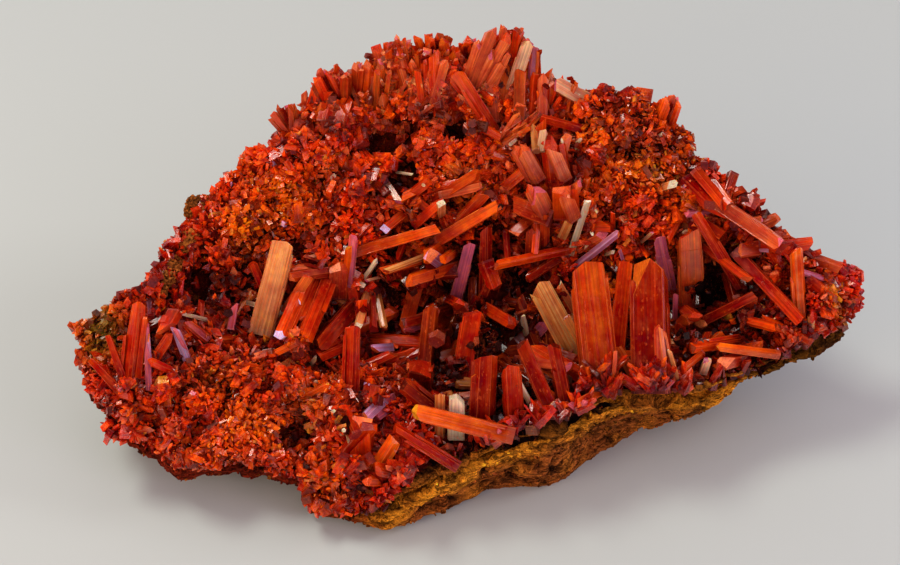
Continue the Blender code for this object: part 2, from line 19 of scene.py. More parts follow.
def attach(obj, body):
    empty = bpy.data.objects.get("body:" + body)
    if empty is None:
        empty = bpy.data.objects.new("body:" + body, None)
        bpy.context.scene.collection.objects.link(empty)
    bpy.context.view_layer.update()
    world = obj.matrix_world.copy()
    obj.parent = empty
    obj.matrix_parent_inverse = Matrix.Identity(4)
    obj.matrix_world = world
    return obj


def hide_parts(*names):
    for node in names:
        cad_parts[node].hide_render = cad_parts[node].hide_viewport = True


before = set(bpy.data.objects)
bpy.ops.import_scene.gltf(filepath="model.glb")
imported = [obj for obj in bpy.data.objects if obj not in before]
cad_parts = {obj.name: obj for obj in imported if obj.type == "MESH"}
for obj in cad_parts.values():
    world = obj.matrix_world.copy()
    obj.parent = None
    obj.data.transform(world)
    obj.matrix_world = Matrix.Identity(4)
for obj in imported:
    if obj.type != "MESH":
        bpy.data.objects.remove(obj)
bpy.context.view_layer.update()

MM = 0.001

# Middle of the solids' box on the floor, in the coordinates of the tables of feet and tips. It is
# the scene's origin
BOX_CENTRE = Vector((3.49, -1.93, 0.0))

# Where the broad faces look, and up, a little aslant so that no ray runs along an edge
FRONT_AND_UP = Vector((0.0, -0.67, 0.74))
UPWARD = Vector((0.05, 0.02, 1.0))

# How deep the feet of large crystals and of the crust's prisms are sunk, slants of the tip faces
# in degrees, and cross-sections, among which slabs are the most common
SOCKET_DEPTH = 2.2
PRISM_SINK = 1.5
TIP_SLANTS = (20, 55)
SECTION_FORMS = ("slab", "slab", "ridge", "hexagon")

# Uneven rings along a large crystal, a thin one at its side and a prism of the crust
LARGE_RINGS = 6
SIDE_RINGS = 3
PRISM_RINGS = 2

# Seeds of the random draws
GROWTH_SEED = 7
SPLINTER_SEED = 4

# Camera, in millimetres and degrees, and the distances from it between which the specimen lies
CAMERA_TARGET = (-3.49, 1.93, 25.0)
CAMERA_ELEVATION = 48.0
CAMERA_DISTANCE = 285.5
SIGHT_RANGE = (220, 360)
LENS_MM = 60.0
SENSOR_MM = 36.0

# The picture's width and middle in its own points, and the directions forward and up in it
PICTURE_WIDTH = 900
PICTURE_CENTRE = (450.0, 282.5)
ELEVATION = math.radians(CAMERA_ELEVATION)
FORWARD = (0.0, math.cos(ELEVATION), -math.sin(ELEVATION))
PICTURE_UP = (0.0, math.sin(ELEVATION), math.cos(ELEVATION))

# Colours seen on the specimen, as sRGB hex values
# The lavender colour paints the reflection of cool lights on mirroring faces, and pink and mauve
# partly paint a pinkish sheen and are partly the crystals' own tints
CREAM = "#F2E2BC"
LAVENDER_SHEEN = "#E6D0FC"
MAUVE = "#C0607A"
PINK = "#EA7486"
TAN = "#D88C50"
PALE_TAN = "#F2BC90"
GOLD = "#D98E30"
SALMON = "#EE7446"
ORANGE = "#F2580A"
BRIGHT_ORANGE = "#FA640E"
RED_ORANGE = "#E23C06"
RED = "#C42404"
DEEP_RED = "#9C1604"
DARK_RED = "#640A03"
BROWN_RED = "#A83A18"
OCHRE = "#E8921E"
OLIVE = "#8C8A2A"
FLAW = "#F5762E"
# Painted highlight along the edges of crystals
EDGE_HIGHLIGHT = "#F6893F"
# The ridge's colours are partly their own and partly painted light, lighter where light falls on the
# top
RIDGE_MASS = "#D8481C"
RIDGE_COAT = "#F06A3C"
CRUMB_OCHRE = "#B06C26"
CRUMB_BROWN = "#5B3417"
PAPER_SHADE = "#B6BEB5"
PAPER_LIGHT = "#C0C7BF"

# Finish of a large crystal: main colour, stripe colour, share of stripes and colour of the end face
FINISHES = {
    "orange_red": (RED_ORANGE, ORANGE, 0.30, BROWN_RED),
    "bright_orange": (BRIGHT_ORANGE, SALMON, 0.20, OCHRE),
    "orange": (ORANGE, TAN, 0.15, RED_ORANGE),
    "orange_striped": (ORANGE, GOLD, 0.35, SALMON),
    "red": (RED, RED_ORANGE, 0.30, DEEP_RED),
    "bright_red": (RED_ORANGE, RED, 0.30, "#DC5A34"),
    "glossy_red": (RED_ORANGE, BRIGHT_ORANGE, 0.25, "#E0603A"),
    "dull_red": ("#BC3A14", RED, 0.40, SALMON),
    "deep_red": (DEEP_RED, RED, 0.35, DARK_RED),
    "salmon": (SALMON, RED_ORANGE, 0.35, PINK),
    "salmon_striped": ("#FFA868", "#EE7C34", 0.35, CREAM),
    "tan_striped": ("#DE8444", "#FFCB80", 0.40, BROWN_RED),
    "clear_tan": (PALE_TAN, SALMON, 0.25, MAUVE),
    "fibrous": ("#CC581E", ORANGE, 0.50, RED),
    "pink": (PINK, RED_ORANGE, 0.25, PINK),
    "mauve": (MAUVE, PINK, 0.30, PINK),
    "rosy": ("#EC6640", SALMON, 0.45, RED_ORANGE),
    "red_salmon": ("#D84A28", "#EA6C48", 0.35, PINK),
    "amber": ("#CE400A", "#DE6A18", 0.35, DEEP_RED),
    "glassy_red": ("#A61A04", "#C23408", 0.30, "#D8641E"),
    "yellow": (OCHRE, GOLD, 0.50, OCHRE),
    # The lavender finish and the lavender end faces are painted sheen of faces that mirror the lights
    "lavender": ("#D68CA8", LAVENDER_SHEEN, 0.45, SALMON),
    "lavender_ended": (RED_ORANGE, SALMON, 0.30, LAVENDER_SHEEN),
    "cream": (CREAM, TAN, 0.35, CREAM),
    "white": (CREAM, CREAM, 0.20, CREAM),
}

# Finishes of crystals whose end face shows
SHOWN_ENDS = ("lavender_ended", "white", "bright_orange")

# Large crystals: piece, foot, tip, width, thickness, turn about the length and finish
LARGE_CRYSTALS = [
    ("tall_prism_left", (27.5, -19, 20.5), (25, -3.5, 35.5), 7.0, 5.0, 0, "amber"),
    ("tall_prism_right", (37, -20, 21.5), (36.5, -3.5, 36.5), 7.0, 5.5, -18, "glassy_red"),
    ("tall_prism_middle", (32, -7.5, 15.5), (33.5, 3.5, 27.5), 3.2, 2.4, 0, "orange_red"),
    ("striated_tan_prism", (23.5, -8.5, 15.5), (16.5, 0, 25.5), 5.0, 3.6, 0, "tan_striped"),
    ("pale_salmon_prism", (-35.5, -4.5, 19.5), (-31.5, 6.5, 30.5), 5.0, 3.5, 0, "salmon_striped"),
    ("lavender_ended_pair", (-28, 3, 22), (-32, -12, 22), 3.5, 3.0, 25, "lavender_ended"),
    ("left_red_prisms", (-24.5, 3, 20), (-28, -11.5, 20), 4.3, 3.4, 0, "bright_red"),
    ("left_red_prisms", (-20, 0, 16), (-25.5, -11, 18), 3.5, 3.0, -20, "deep_red"),
    ("lavender_ended_pair", (-31.8, -2.5, 18.5), (-26.5, 1.5, 26), 2.4, 2.0, 0, "fibrous"),
    ("left_red_prisms", (-20.5, -6, 13.5), (-25.5, -12.5, 17.5), 2.9, 2.4, 10, "red"),
    ("upright_red_prism", (-18.5, -18.5, 16.5), (-18, -10, 25.5), 3.4, 3.0, 0, "red"),
    ("pink_faced_stick", (-19.5, 6, 21), (-18.5, 9.5, 29), 1.9, 1.6, 0, "pink"),
    ("crossbar_prism", (-15.5, 9, 25), (-2, 10, 29.5), 2.3, 2.0, 0, "orange"),
    ("centre_spray", (-0.5, 11, 26.5), (9.5, 11, 35), 2.6, 2.2, 0, "orange"),
    ("centre_spray", (1, 12.5, 27.5), (7, 13.5, 36), 2.3, 2.0, 30, "dull_red"),
    ("centre_orange_prism", (0.5, 9, 23.5), (-1.5, 1.5, 29.5), 2.0, 1.8, 0, "orange"),
    ("pink_blade", (1.5, 4.5, 17), (4, 9, 27), 2.7, 1.6, 0, "mauve"),
    ("dark_upright_prism", (7, 6, 20), (7, 10, 30.5), 2.7, 2.3, 0, "deep_red"),
    ("long_low_bar", (20.5, 7, 26), (8, 1.5, 28), 2.0, 1.8, 0, "orange_red"),
    ("hollow_crossbar", (-1.5, 1, 15), (-10, -5, 18.5), 2.4, 2.1, 0, "deep_red"),
    ("cream_stick", (24, 8.5, 27.5), (26.3, 11, 37), 1.4, 1.2, 0, "cream"),
    ("lavender_blade", (26.5, 6.5, 25), (32.5, 6.5, 32.5), 1.6, 1.1, 0, "lavender"),
    ("front_slanted_prism", (2.5, -14, 15.5), (4.5, -5.5, 24.5), 4.2, 3.4, 0, "red"),
    ("front_capped_prism", (6, -25.5, 18), (6.5, -19.5, 28), 5.1, 4.2, 0, "glassy_red"),
    ("front_narrow_prism", (11.5, -26, 18.5), (10.8, -21, 27), 3.4, 2.8, 20, "red"),
    ("front_dark_prism", (18, -25, 19.5), (12.5, -16.5, 28.5), 3.0, 2.8, 0, "deep_red"),
    ("front_side_prism", (21, -23.5, 19.5), (18.5, -17.5, 29), 3.0, 2.6, 15, "deep_red"),
    ("diagonal_bar", (14.5, -11.5, 15), (22.5, -18.5, 22), 2.0, 1.8, -25, "red_salmon"),
    ("white_faced_crystal", (1.2, -27.5, 17.5), (1.2, -25, 22.5), 3.3, 2.8, 0, "white"),
    ("tan_short_stick", (-1.8, -27.5, 17.5), (-1.8, -25, 23.5), 2.0, 1.6, 0, "tan_striped"),
    ("front_lying_prism", (8.5, -31, 19.5), (-7, -28.5, 22.5), 3.3, 2.8, 0, "bright_orange"),
    ("front_lower_prism", (-1, -34, 15.5), (-10.5, -29, 18.5), 2.3, 2.0, 0, "red"),
    ("front_striated_prism", (-14, -34.5, 11.5), (-9.5, -31.5, 19), 3.1, 2.6, 0, "orange_striped"),
    ("sparkling_prism", (-3.5, -23, 16.5), (-9.5, -21.5, 22.5), 3.8, 3.4, 0, "deep_red"),
    ("end_on_prism", (-5.5, -15.5, 14.5), (-5.5, -19, 23), 4.8, 4.4, 0, "deep_red"),
    ("left_lobe_prisms", (-58.5, -17.5, 21.5), (-56.5, -10, 32.5), 4.4, 3.4, 0, "glossy_red"),
    ("left_lobe_blade", (-61, -21, 19), (-66, -18, 24.5), 1.9, 1.4, 0, "red"),
    ("left_lobe_prisms", (-60.5, -18.5, 21), (-62.5, -15, 28), 1.7, 1.4, 0, "red"),
    ("mauve_blade", (42, 3.5, 22.5), (39.5, 6, 32), 2.8, 1.7, 0, "mauve"),
    ("fibrous_block", (46.5, 1.5, 21), (45, 6, 34), 5.0, 3.6, 0, "fibrous"),
    ("right_upper_bar", (54, 1.5, 25.5), (45.5, 6.5, 38), 2.3, 2.0, 0, "red"),
    ("right_lower_bar", (56, 2, 28.5), (65, -11.5, 26.5), 2.5, 2.2, 18, "red"),
    ("right_salmon_prism", (51, 9.5, 36.5), (61, -2.5, 37.5), 2.9, 2.4, 22, "red_salmon"),
    ("right_upright_bar", (65.8, -7.5, 23.5), (63.5, -1.5, 37), 3.0, 2.4, 0, "orange"),
    ("right_dark_bar", (48, -4, 18), (57.5, -5, 27.5), 2.0, 1.8, 0, "deep_red"),
    ("right_orange_bar", (52, -2.5, 19), (61, -12, 25.5), 2.0, 1.8, 0, "orange_red"),
    ("right_end_on_prism", (53.5, -9.5, 19), (44, -15, 23.5), 2.5, 2.3, 0, "orange_red"),
    ("right_front_bar", (58.5, -14, 21), (49, -14.5, 23.5), 1.8, 1.6, 0, "bright_orange"),
    ("ridge_left_block", (-19, 30.5, 44.5), (-18.5, 30.5, 53), 3.6, 3.0, 0, "dull_red"),
    ("ridge_striated_block", (-14.5, 30.5, 44.5), (-14, 31.5, 55), 3.8, 3.0, 0, "orange_striped"),
    ("ridge_spike", (-11.3, 32.8, 46.5), (-11.4, 32.8, 57), 1.5, 1.4, 0, "red"),
    ("ridge_curved_block", (-8, 31.5, 46.5), (-9.5, 32, 58), 3.0, 2.6, 0, "red"),
    ("ridge_top_prism", (6.5, 31, 49.5), (10.8, 31, 62), 5.0, 3.6, 0, "salmon"),
    ("ridge_tan_prism", (12.2, 30, 48), (15, 32, 58.5), 2.8, 2.2, 0, "clear_tan"),
    ("ridge_cleavage_plate", (25.5, 27, 47.5), (19.5, 28, 51), 3.2, 1.2, 0, "clear_tan"),
    ("ridge_front_prism", (7, 25, 44), (1, 28.5, 53.5), 2.8, 2.3, 0, "glossy_red"),
]

# Smaller crystals that are one with the crust: foot, tip and width
CRUST_CRYSTALS = [
    ((24.5, 0, 15), (21, 2, 22), 1.8), ((-17.5, -1.5, 14), (-17, 0, 20.5), 1.8),
    ((-24.5, 5.5, 22), (-31, 3, 25), 2.7), ((-6, 8, 22), (-13.5, 3.5, 24), 1.6),
    ((-2.5, 9, 24), (-4.5, 5, 26), 3.2), ((16, 7, 25), (16, 9, 31), 2.6),
    ((8, 3, 17), (8, 5, 24), 2.7), ((0, 7.5, 21), (-8.5, 1.5, 23.5), 2.1),
    ((5.5, 2, 15), (12.5, -6, 19.5), 2.3), ((-3, 2, 14), (-3.5, -4, 21), 3.3),
    ((2.5, 2, 14), (2, -2.5, 20.5), 3.0), ((-2, -3, 13), (-2.5, -9, 19), 3.6),
    ((-9.5, 15.5, 31), (-4, 15.5, 37), 1.7), ((-3.5, 15.5, 31), (5.5, 16, 38.5), 2.0),
    ((-6, 13.5, 28), (-1.5, 13, 34), 1.8), ((16, -6.5, 14), (24, -14.5, 19), 2.0),
    ((-12.5, -35.5, 11), (-15, -37.5, 14), 2.5), ((-10, -35, 12.5), (-13.5, -36.5, 16), 2.4),
    ((-16, -31, 13), (-16, -29, 19.5), 3.8), ((-54.5, -16.5, 22), (-51, -14.5, 27), 1.8),
    ((-52, -18, 21), (-55, -19, 25), 1.7), ((-52.5, -12, 23.5), (-52, -12, 28.5), 2.6),
    ((-49, -15, 21.5), (-50.5, -13, 27), 1.6), ((-60.5, -21.5, 18.5), (-57.5, -24, 20.5), 2.2),
    ((45.5, -4, 17), (44.5, -7, 22.5), 3.8), ((47.5, -5, 17.5), (47.5, -7.5, 22), 2.3),
    ((-2.5, 35, 50), (-2.5, 34.5, 57), 3.6), ((3, 33.5, 50), (3, 33, 56.5), 2.8),
    ((10.3, 33, 49), (12, 33.5, 60), 1.8), ((16.5, 29.5, 47), (17, 31.5, 56.5), 1.8),
    ((18.5, 26.5, 46), (18.5, 27, 50.5), 2.2), ((10.5, 21.5, 41), (16, 22.5, 47.5), 2.4),
    ((18.5, 17, 39), (18, 19, 47), 6.0), ((20.5, 12, 34), (20.5, 13, 41), 6.0),
    ((11.5, 16, 36), (15, 15.5, 40.5), 2.0), ((-23, 30.5, 45), (-24.5, 31, 51), 3.0),
    ((-4.5, 32, 48), (-5.5, 31, 55.5), 2.8), ((-31, 25.5, 41.5), (-32.5, 26.5, 47), 2.8),
    ((22.5, 28, 46.5), (23.5, 29, 52), 2.4), ((41, 24, 45), (42.5, 24.5, 50), 3.0),
]

# Crystals of the crust as the camera sees them, each lying close to it: column and row of the
# foot, column and row of the tip, width in picture points, height over the crust in millimetres
# and finish
# Narrow lavender crystals and some pink and mauve ones are painted sheen on the faces beside them
SEEN_CRYSTALS = [
    # middle of the hollow
    (450, 272, 405, 276, 14, 0.8, "deep_red"), (421, 258, 384, 272, 6, 2.0, "tan_striped"),
    (440, 262, 430, 255, 15, 3.0, "lavender"), (488, 268, 496, 290, 14, 1.5, "red"),
    (403, 244, 397, 260, 6, 1.0, "red"), (430, 184, 402, 198, 9, 1.5, "orange"),
    (432, 190, 478, 180, 12, 1.5, "bright_red"), (447, 194, 482, 186, 9, 2.0, "salmon"),
    (384, 201, 403, 208, 8, 1.0, "orange"), (391, 190, 401, 204, 7, 1.5, "clear_tan"),
    (420, 203, 436, 216, 9, 1.0, "bright_red"), (441, 214, 441, 203, 9, 2.0, "salmon_striped"),
    (403, 214, 385, 229, 10, 1.5, "lavender_ended"), (402, 173, 416, 175, 3, 1.5, "cream"),
    (421, 180, 424, 186, 4, 1.5, "cream"), (529, 221, 514, 234, 12, 1.0, "dull_red"),
    (537, 230, 535, 252, 9, 1.5, "orange_red"), (506, 238, 508, 262, 8, 0.8, "red"),
    (448, 312, 431, 331, 15, 1.0, "deep_red"), (449, 300, 459, 305, 11, 2.0, "red"),
    (478, 303, 513, 324, 13, 1.5, "red"), (527, 336, 522, 315, 7, 2.0, "cream"),
    (512, 349, 512, 337, 7, 2.5, "white"), (500, 396, 498, 386, 4, 2.0, "white"),
    (530, 403, 519, 382, 6, 2.0, "cream"), (421, 324, 406, 329, 14, 1.0, "mauve"),
    (378, 300, 384, 328, 9, 1.5, "tan_striped"), (370, 364, 394, 353, 11, 1.0, "orange_red"),
    (386, 348, 371, 349, 9, 1.0, "lavender"), (389, 404, 374, 415, 15, 1.0, "mauve"),
    (378, 405, 365, 418, 14, 1.5, "lavender"), (444, 400, 432, 393, 9, 1.0, "red"),
    (545, 216, 516, 205, 19, 1.0, "dull_red"), (589, 229, 593, 235, 4, 2.0, "cream"),
    (563, 218, 565, 197, 12, 1.0, "orange_striped"), (562, 236, 572, 214, 10, 1.0, "tan_striped"),
    (594, 208, 598, 213, 3, 2.0, "cream"), (624, 262, 618, 246, 4, 2.0, "lavender"),
    (607, 254, 616, 251, 4, 2.0, "cream"), (645, 239, 653, 232, 4, 1.5, "clear_tan"),
    (613, 226, 613, 212, 6, 1.0, "bright_red"), (586, 225, 612, 227, 12, 0.8, "red"),
    (583, 245, 606, 232, 10, 1.5, "salmon"), (573, 308, 559, 284, 8, 3.0, "salmon_striped"),
    (560, 256, 526, 278, 14, 1.0, "deep_red"), (545, 246, 545, 215, 10, 1.0, "dull_red"),
    (586, 380, 534, 350, 19, 3.0, "orange_red"), (535, 335, 547, 322, 13, 1.5, "mauve"),
    (533, 417, 533, 400, 9, 1.5, "red"), (545, 418, 555, 400, 6, 2.5, "salmon_striped"),
    (563, 412, 552, 409, 6, 2.5, "clear_tan"), (600, 392, 576, 404, 9, 1.5, "orange"),
    (632, 373, 617, 348, 12, 2.0, "orange"), (640, 352, 633, 378, 9, 1.5, "red"),
    (520, 345, 562, 400, 24, 2.0, "red"),
    # left side of the hollow
    (278, 313, 262, 325, 9, 2.0, "white"), (252, 304, 277, 312, 5, 2.5, "cream"),
    (323, 272, 290, 277, 13, 1.5, "dull_red"), (338, 290, 339, 262, 20, 1.0, "dull_red"),
    (347, 286, 349, 243, 9, 1.5, "bright_orange"), (366, 276, 377, 260, 5, 1.5, "cream"),
    (382, 277, 365, 281, 3, 1.5, "clear_tan"), (334, 248, 342, 252, 3, 1.5, "cream"),
    (323, 253, 307, 258, 4, 1.5, "clear_tan"), (366, 298, 358, 327, 8, 2.0, "salmon_striped"),
    (353, 309, 343, 313, 8, 1.5, "pink"), (334, 357, 341, 349, 3, 2.5, "cream"),
    (313, 362, 317, 357, 5, 2.0, "cream"), (292, 345, 276, 353, 8, 1.5, "orange"),
    (310, 395, 330, 385, 8, 1.0, "bright_orange"), (333, 399, 341, 382, 11, 1.0, "bright_red"),
    (344, 403, 351, 388, 12, 1.5, "dull_red"), (330, 408, 337, 416, 5, 1.5, "cream"),
    (341, 435, 344, 430, 5, 1.5, "cream"), (347, 432, 352, 450, 4, 1.5, "cream"),
    (312, 425, 322, 421, 9, 1.0, "tan_striped"), (353, 430, 342, 408, 14, 1.0, "bright_red"),
    (352, 447, 371, 425, 16, 1.0, "red"), (264, 290, 252, 262, 10, 0.8, "red"),
    (318, 352, 342, 340, 11, 1.2, "bright_red"), (372, 300, 374, 332, 11, 0.8, "red"),
    # right side
    (664, 187, 676, 183, 8, 1.5, "salmon_striped"), (683, 190, 688, 183, 6, 1.0, "lavender"),
    (700, 178, 711, 200, 8, 1.0, "salmon"), (696, 202, 728, 216, 11, 1.5, "bright_red"),
    (731, 180, 723, 205, 10, 1.0, "dull_red"), (748, 222, 764, 218, 8, 1.5, "salmon"),
    (704, 246, 750, 281, 10, 2.0, "bright_red"), (690, 233, 695, 243, 3, 2.5, "salmon_striped"),
    (681, 216, 666, 246, 7, 2.0, "orange_red"), (706, 212, 684, 214, 9, 1.0, "mauve"),
    (700, 224, 724, 240, 21, 1.0, "deep_red"), (753, 250, 738, 252, 16, 1.0, "dull_red"),
    (757, 250, 772, 251, 4, 2.0, "lavender"), (770, 274, 752, 274, 8, 1.0, "dull_red"),
    (692, 346, 680, 346, 13, 1.5, "salmon"), (804, 338, 762, 320, 12, 1.5, "orange_red"),
    (684, 308, 696, 318, 16, 1.0, "red"), (675, 320, 676, 290, 5, 2.0, "mauve"),
    (705, 367, 708, 359, 8, 1.5, "clear_tan"), (698, 357, 682, 370, 8, 1.5, "orange"),
    (742, 358, 722, 364, 12, 1.0, "dull_red"), (812, 284, 836, 304, 15, 0.3, "orange_red"),
    (853, 289, 796, 270, 7, 1.5, "mauve"), (832, 292, 842, 302, 5, 1.5, "yellow"),
    (811, 331, 811, 315, 8, 1.2, "tan_striped"), (795, 266, 803, 260, 6, 1.5, "cream"),
    (796, 302, 792, 284, 6, 1.5, "mauve"), (790, 246, 813, 243, 14, 0.8, "orange_red"),
    (742, 200, 758, 206, 15, 0.8, "red"), (762, 225, 778, 218, 13, 0.8, "dull_red"),
    (820, 262, 841, 269, 15, 0.8, "dull_red"), (730, 195, 745, 188, 10, 0.8, "orange_red"),
    # ridge
    (366, 112, 368, 70, 34, -1.0, "orange_red"), (404, 104, 407, 50, 36, -1.5, "rosy"),
    (432, 104, 437, 47, 34, -1.5, "orange_red"), (462, 104, 460, 52, 32, -1.2, "bright_red"),
    (496, 112, 498, 52, 38, -1.5, "rosy"), (332, 118, 334, 98, 30, -1.0, "orange_red"),
    (530, 112, 531, 66, 28, -1.2, "bright_red"), (482, 116, 478, 74, 34, 0.2, "rosy"),
    (440, 112, 436, 84, 34, 0.4, "rosy"), (400, 112, 398, 80, 32, 0.2, "orange_red"),
    (312, 120, 325, 92, 25, 0.5, "orange_red"), (331, 112, 335, 92, 14, 0.5, "orange_red"),
    (300, 124, 305, 108, 18, 0.3, "rosy"), (346, 102, 351, 67, 20, 0.5, "orange_red"),
    (360, 92, 358, 62, 14, 0.5, "rosy"), (369, 96, 373, 56, 18, 0.8, "orange_striped"),
    (381, 92, 382, 56, 13, 0.5, "rosy"), (388, 72, 387, 43, 9, 0.5, "orange_red"),
    (396, 86, 402, 39, 21, 0.5, "orange_red"), (411, 80, 413, 38, 17, 0.5, "rosy"),
    (422, 76, 424, 38, 12, 0.3, "orange_red"), (430, 76, 441, 31, 19, 0.6, "orange_red"),
    (449, 80, 451, 42, 20, 0.5, "rosy"), (456, 62, 471, 40, 11, 0.3, "orange_red"),
    (471, 92, 462, 56, 18, 0.5, "bright_red"), (432, 95, 431, 63, 17, 1.0, "rosy"),
    (416, 98, 413, 66, 15, 0.6, "orange_red"), (444, 92, 445, 70, 12, 0.8, "bright_red"),
    (484, 116, 460, 67, 21, 1.5, "glossy_red"), (471, 98, 454, 68, 6, 2.4, "pink"),
    (392, 104, 421, 79, 15, 1.0, "bright_red"), (412, 104, 438, 84, 16, 1.0, "tan_striped"),
    (424, 104, 456, 92, 13, 1.2, "orange_striped"), (352, 108, 362, 86, 14, 0.8, "orange_striped"),
    (376, 112, 381, 92, 15, 0.8, "orange_red"), (360, 118, 350, 100, 14, 0.8, "orange_red"),
    (477, 82, 487, 31, 18, 0.3, "rosy"), (498, 84, 506, 23, 19, 0.5, "salmon"),
    (510, 84, 518, 29, 9, 0.4, "orange_red"), (531, 94, 535, 45, 10, 0.4, "mauve"),
    (524, 98, 522, 60, 14, 0.3, "rosy"), (532, 104, 545, 80, 16, 0.5, "orange_red"),
    (503, 120, 489, 78, 24, 0.6, "bright_red"), (520, 118, 522, 86, 22, 0.5, "bright_red"),
    (508, 96, 498, 74, 20, 0.4, "orange_red"), (545, 100, 546, 86, 10, 0.5, "deep_red"),
    (556, 99, 584, 89, 14, -0.2, "clear_tan"), (532, 116, 507, 139, 12, 1.5, "orange_striped"),
    (350, 119, 372, 117, 6, 1.0, "orange"), (536, 146, 534, 125, 9, 0.9, "tan_striped"),
    (578, 128, 541, 118, 8, 1.0, "red"), (474, 138, 473, 124, 8, 1.0, "dull_red"),
    (480, 126, 500, 137, 10, 1.0, "bright_red"), (577, 148, 580, 138, 5, 1.0, "cream"),
    (542, 144, 544, 128, 8, 0.6, "clear_tan"), (563, 145, 561, 137, 3, 1.0, "cream"),
    (512, 143, 516, 140, 4, 1.0, "white"), (571, 99, 580, 93, 5, 1.5, "cream"),
    (700, 176, 724, 205, 15, 3.0, "bright_red"), (690, 184, 712, 206, 13, 3.0, "red"),
    (714, 186, 730, 208, 13, 3.4, "orange_red"), (762, 244, 784, 250, 12, 2.0, "red"),
    # left lobe
    (121, 374, 104, 352, 27, 0.5, "red"),
    # Pink and lavender strips of painted sheen on the right face of the lobe's large prism
    (149, 382, 146, 322, 7, 2.2, "pink"), (151, 372, 148, 334, 3, 3.0, "lavender"),
    (137, 375, 120, 390, 5, 0.8, "salmon"), (131, 338, 117, 338, 5, 1.5, "bright_red"),
    (176, 350, 153, 331, 7, 1.5, "bright_red"), (166, 357, 149, 352, 6, 2.0, "bright_red"),
    (172, 318, 165, 331, 13, 1.5, "bright_red"), (186, 351, 175, 329, 5, 1.5, "pink"),
    (193, 333, 184, 337, 4, 1.5, "orange"), (204, 319, 175, 312, 4, 1.5, "cream"),
    (201, 336, 183, 321, 14, 1.0, "red"), (232, 322, 235, 303, 7, 1.2, "pink"),
    (200, 318, 202, 300, 7, 1.0, "red"), (165, 398, 163, 376, 12, 0.8, "bright_orange"),
    (190, 398, 194, 391, 6, 1.0, "salmon"), (113, 390, 104, 366, 10, 0.6, "red"),
]

# Splinters at the flared feet of the tall prisms, in front of them
# The narrow lavender splinters are strips of painted sheen along the prisms' edges
FLARED_FEET = [
    (590, 388, 581, 364, 5, 0.6, "glassy_red"), (604, 389, 603, 360, 6, 0.5, "red"),
    (613, 386, 616, 346, 5, 0.9, "rosy"), (616, 383, 617, 354, 2, 1.3, "lavender"),
    (636, 383, 629, 362, 5, 0.7, "red"), (648, 384, 647, 362, 5, 0.5, "glassy_red"),
    (659, 382, 657, 324, 7, 0.5, "red_salmon"), (666, 382, 659, 322, 7, 0.6, "salmon"),
    (674, 383, 662, 326, 6, 0.7, "rosy"), (679, 383, 668, 346, 4, 0.9, "salmon_striped"),
    (684, 384, 678, 358, 3, 1.0, "lavender"),
]

# Lines along which the feet of the tall prisms are splintered, as the camera sees them: first and
# last column and row, and the number of splinters
SPLINTERED_FEET = [
    ((578, 385), (618, 387), 52), ((588, 374), (616, 371), 12), ((632, 382), (686, 384), 66),
    ((644, 374), (682, 368), 16), ((500, 436), (545, 416), 26), ((545, 416), (590, 402), 28),
    ((470, 440), (500, 436), 12),
]

# Deep gaps between the crystals, as the camera sees them: column, row and radius
SEEN_PITS = [
    (700, 290, 20), (722, 282, 14), (685, 300, 12), (457, 128, 14), (455, 118, 9), (385, 138, 18),
    (402, 133, 14), (370, 145, 12), (405, 174, 13), (392, 182, 9), (295, 247, 9), (272, 232, 7),
    (200, 283, 14), (215, 290, 9), (180, 330, 6), (205, 377, 9), (178, 388, 6), (290, 437, 11),
    (305, 432, 8), (262, 347, 6), (286, 354, 4), (383, 289, 5), (475, 290, 14), (490, 292, 10),
    (605, 270, 8), (558, 343, 8), (586, 388, 5), (735, 334, 6), (706, 330, 9), (745, 305, 10),
    (428, 375, 7), (434, 388, 5), (505, 272, 6), (519, 246, 5), (638, 240, 6), (706, 192, 7),
    (735, 246, 7), (752, 262, 6), (480, 340, 6), (400, 288, 6), (345, 245, 6), (300, 325, 6),
    (370, 272, 5), (420, 230, 9), (615, 335, 7), (590, 190, 5), (617, 196, 5), (360, 388, 6),
    (325, 365, 6), (385, 328, 9), (440, 345, 9), (516, 395, 4), (240, 250, 6), (152, 318, 5),
    (620, 278, 12), (640, 262, 7), (668, 290, 8), (690, 330, 10), (548, 300, 7), (530, 335, 8),
]
PIT_DEPTH = 4.5

# Where the ridge begins, as a row of the picture and as a height, where its grains end at the
# back, and where across the left lobe begins and the crust's prisms end
RIDGE_ROW = 125
RIDGE_HEIGHT = 44
BACK_LIMIT = 39.5
LEFT_LOBE = -55
FAR_LEFT = -66

# A crystal of SEEN_CRYSTALS that is wider than this in picture points is a splintered block
BLOCK_WIDTH = 24
RIDGE_BLOCK_WIDTH = 11

# A tip found farther than this from its foot, in millimetres, is taken to the foot's distance
TIP_REACH = 14

# Where the crust ends over the front wall of the matrix, as the camera sees it: column and row
CRUST_EDGE = [
    (368, 516), (390, 500), (404, 488), (423, 469), (446, 456), (486, 450), (517, 435), (541, 421),
    (580, 409), (601, 394), (617, 382), (680, 382), (704, 389), (741, 374), (800, 346), (850, 322),
]

# Lumps of limonite that show beside the crust, as the camera sees them: column, row and radius
SEEN_ROCK = [
    (195, 206, 10), (203, 209, 11), (190, 213, 6), (207, 203, 7), (198, 225, 9), (191, 236, 8),
    (186, 247, 8), (179, 258, 8), (173, 269, 9), (166, 280, 9), (160, 290, 8), (205, 220, 9),
]
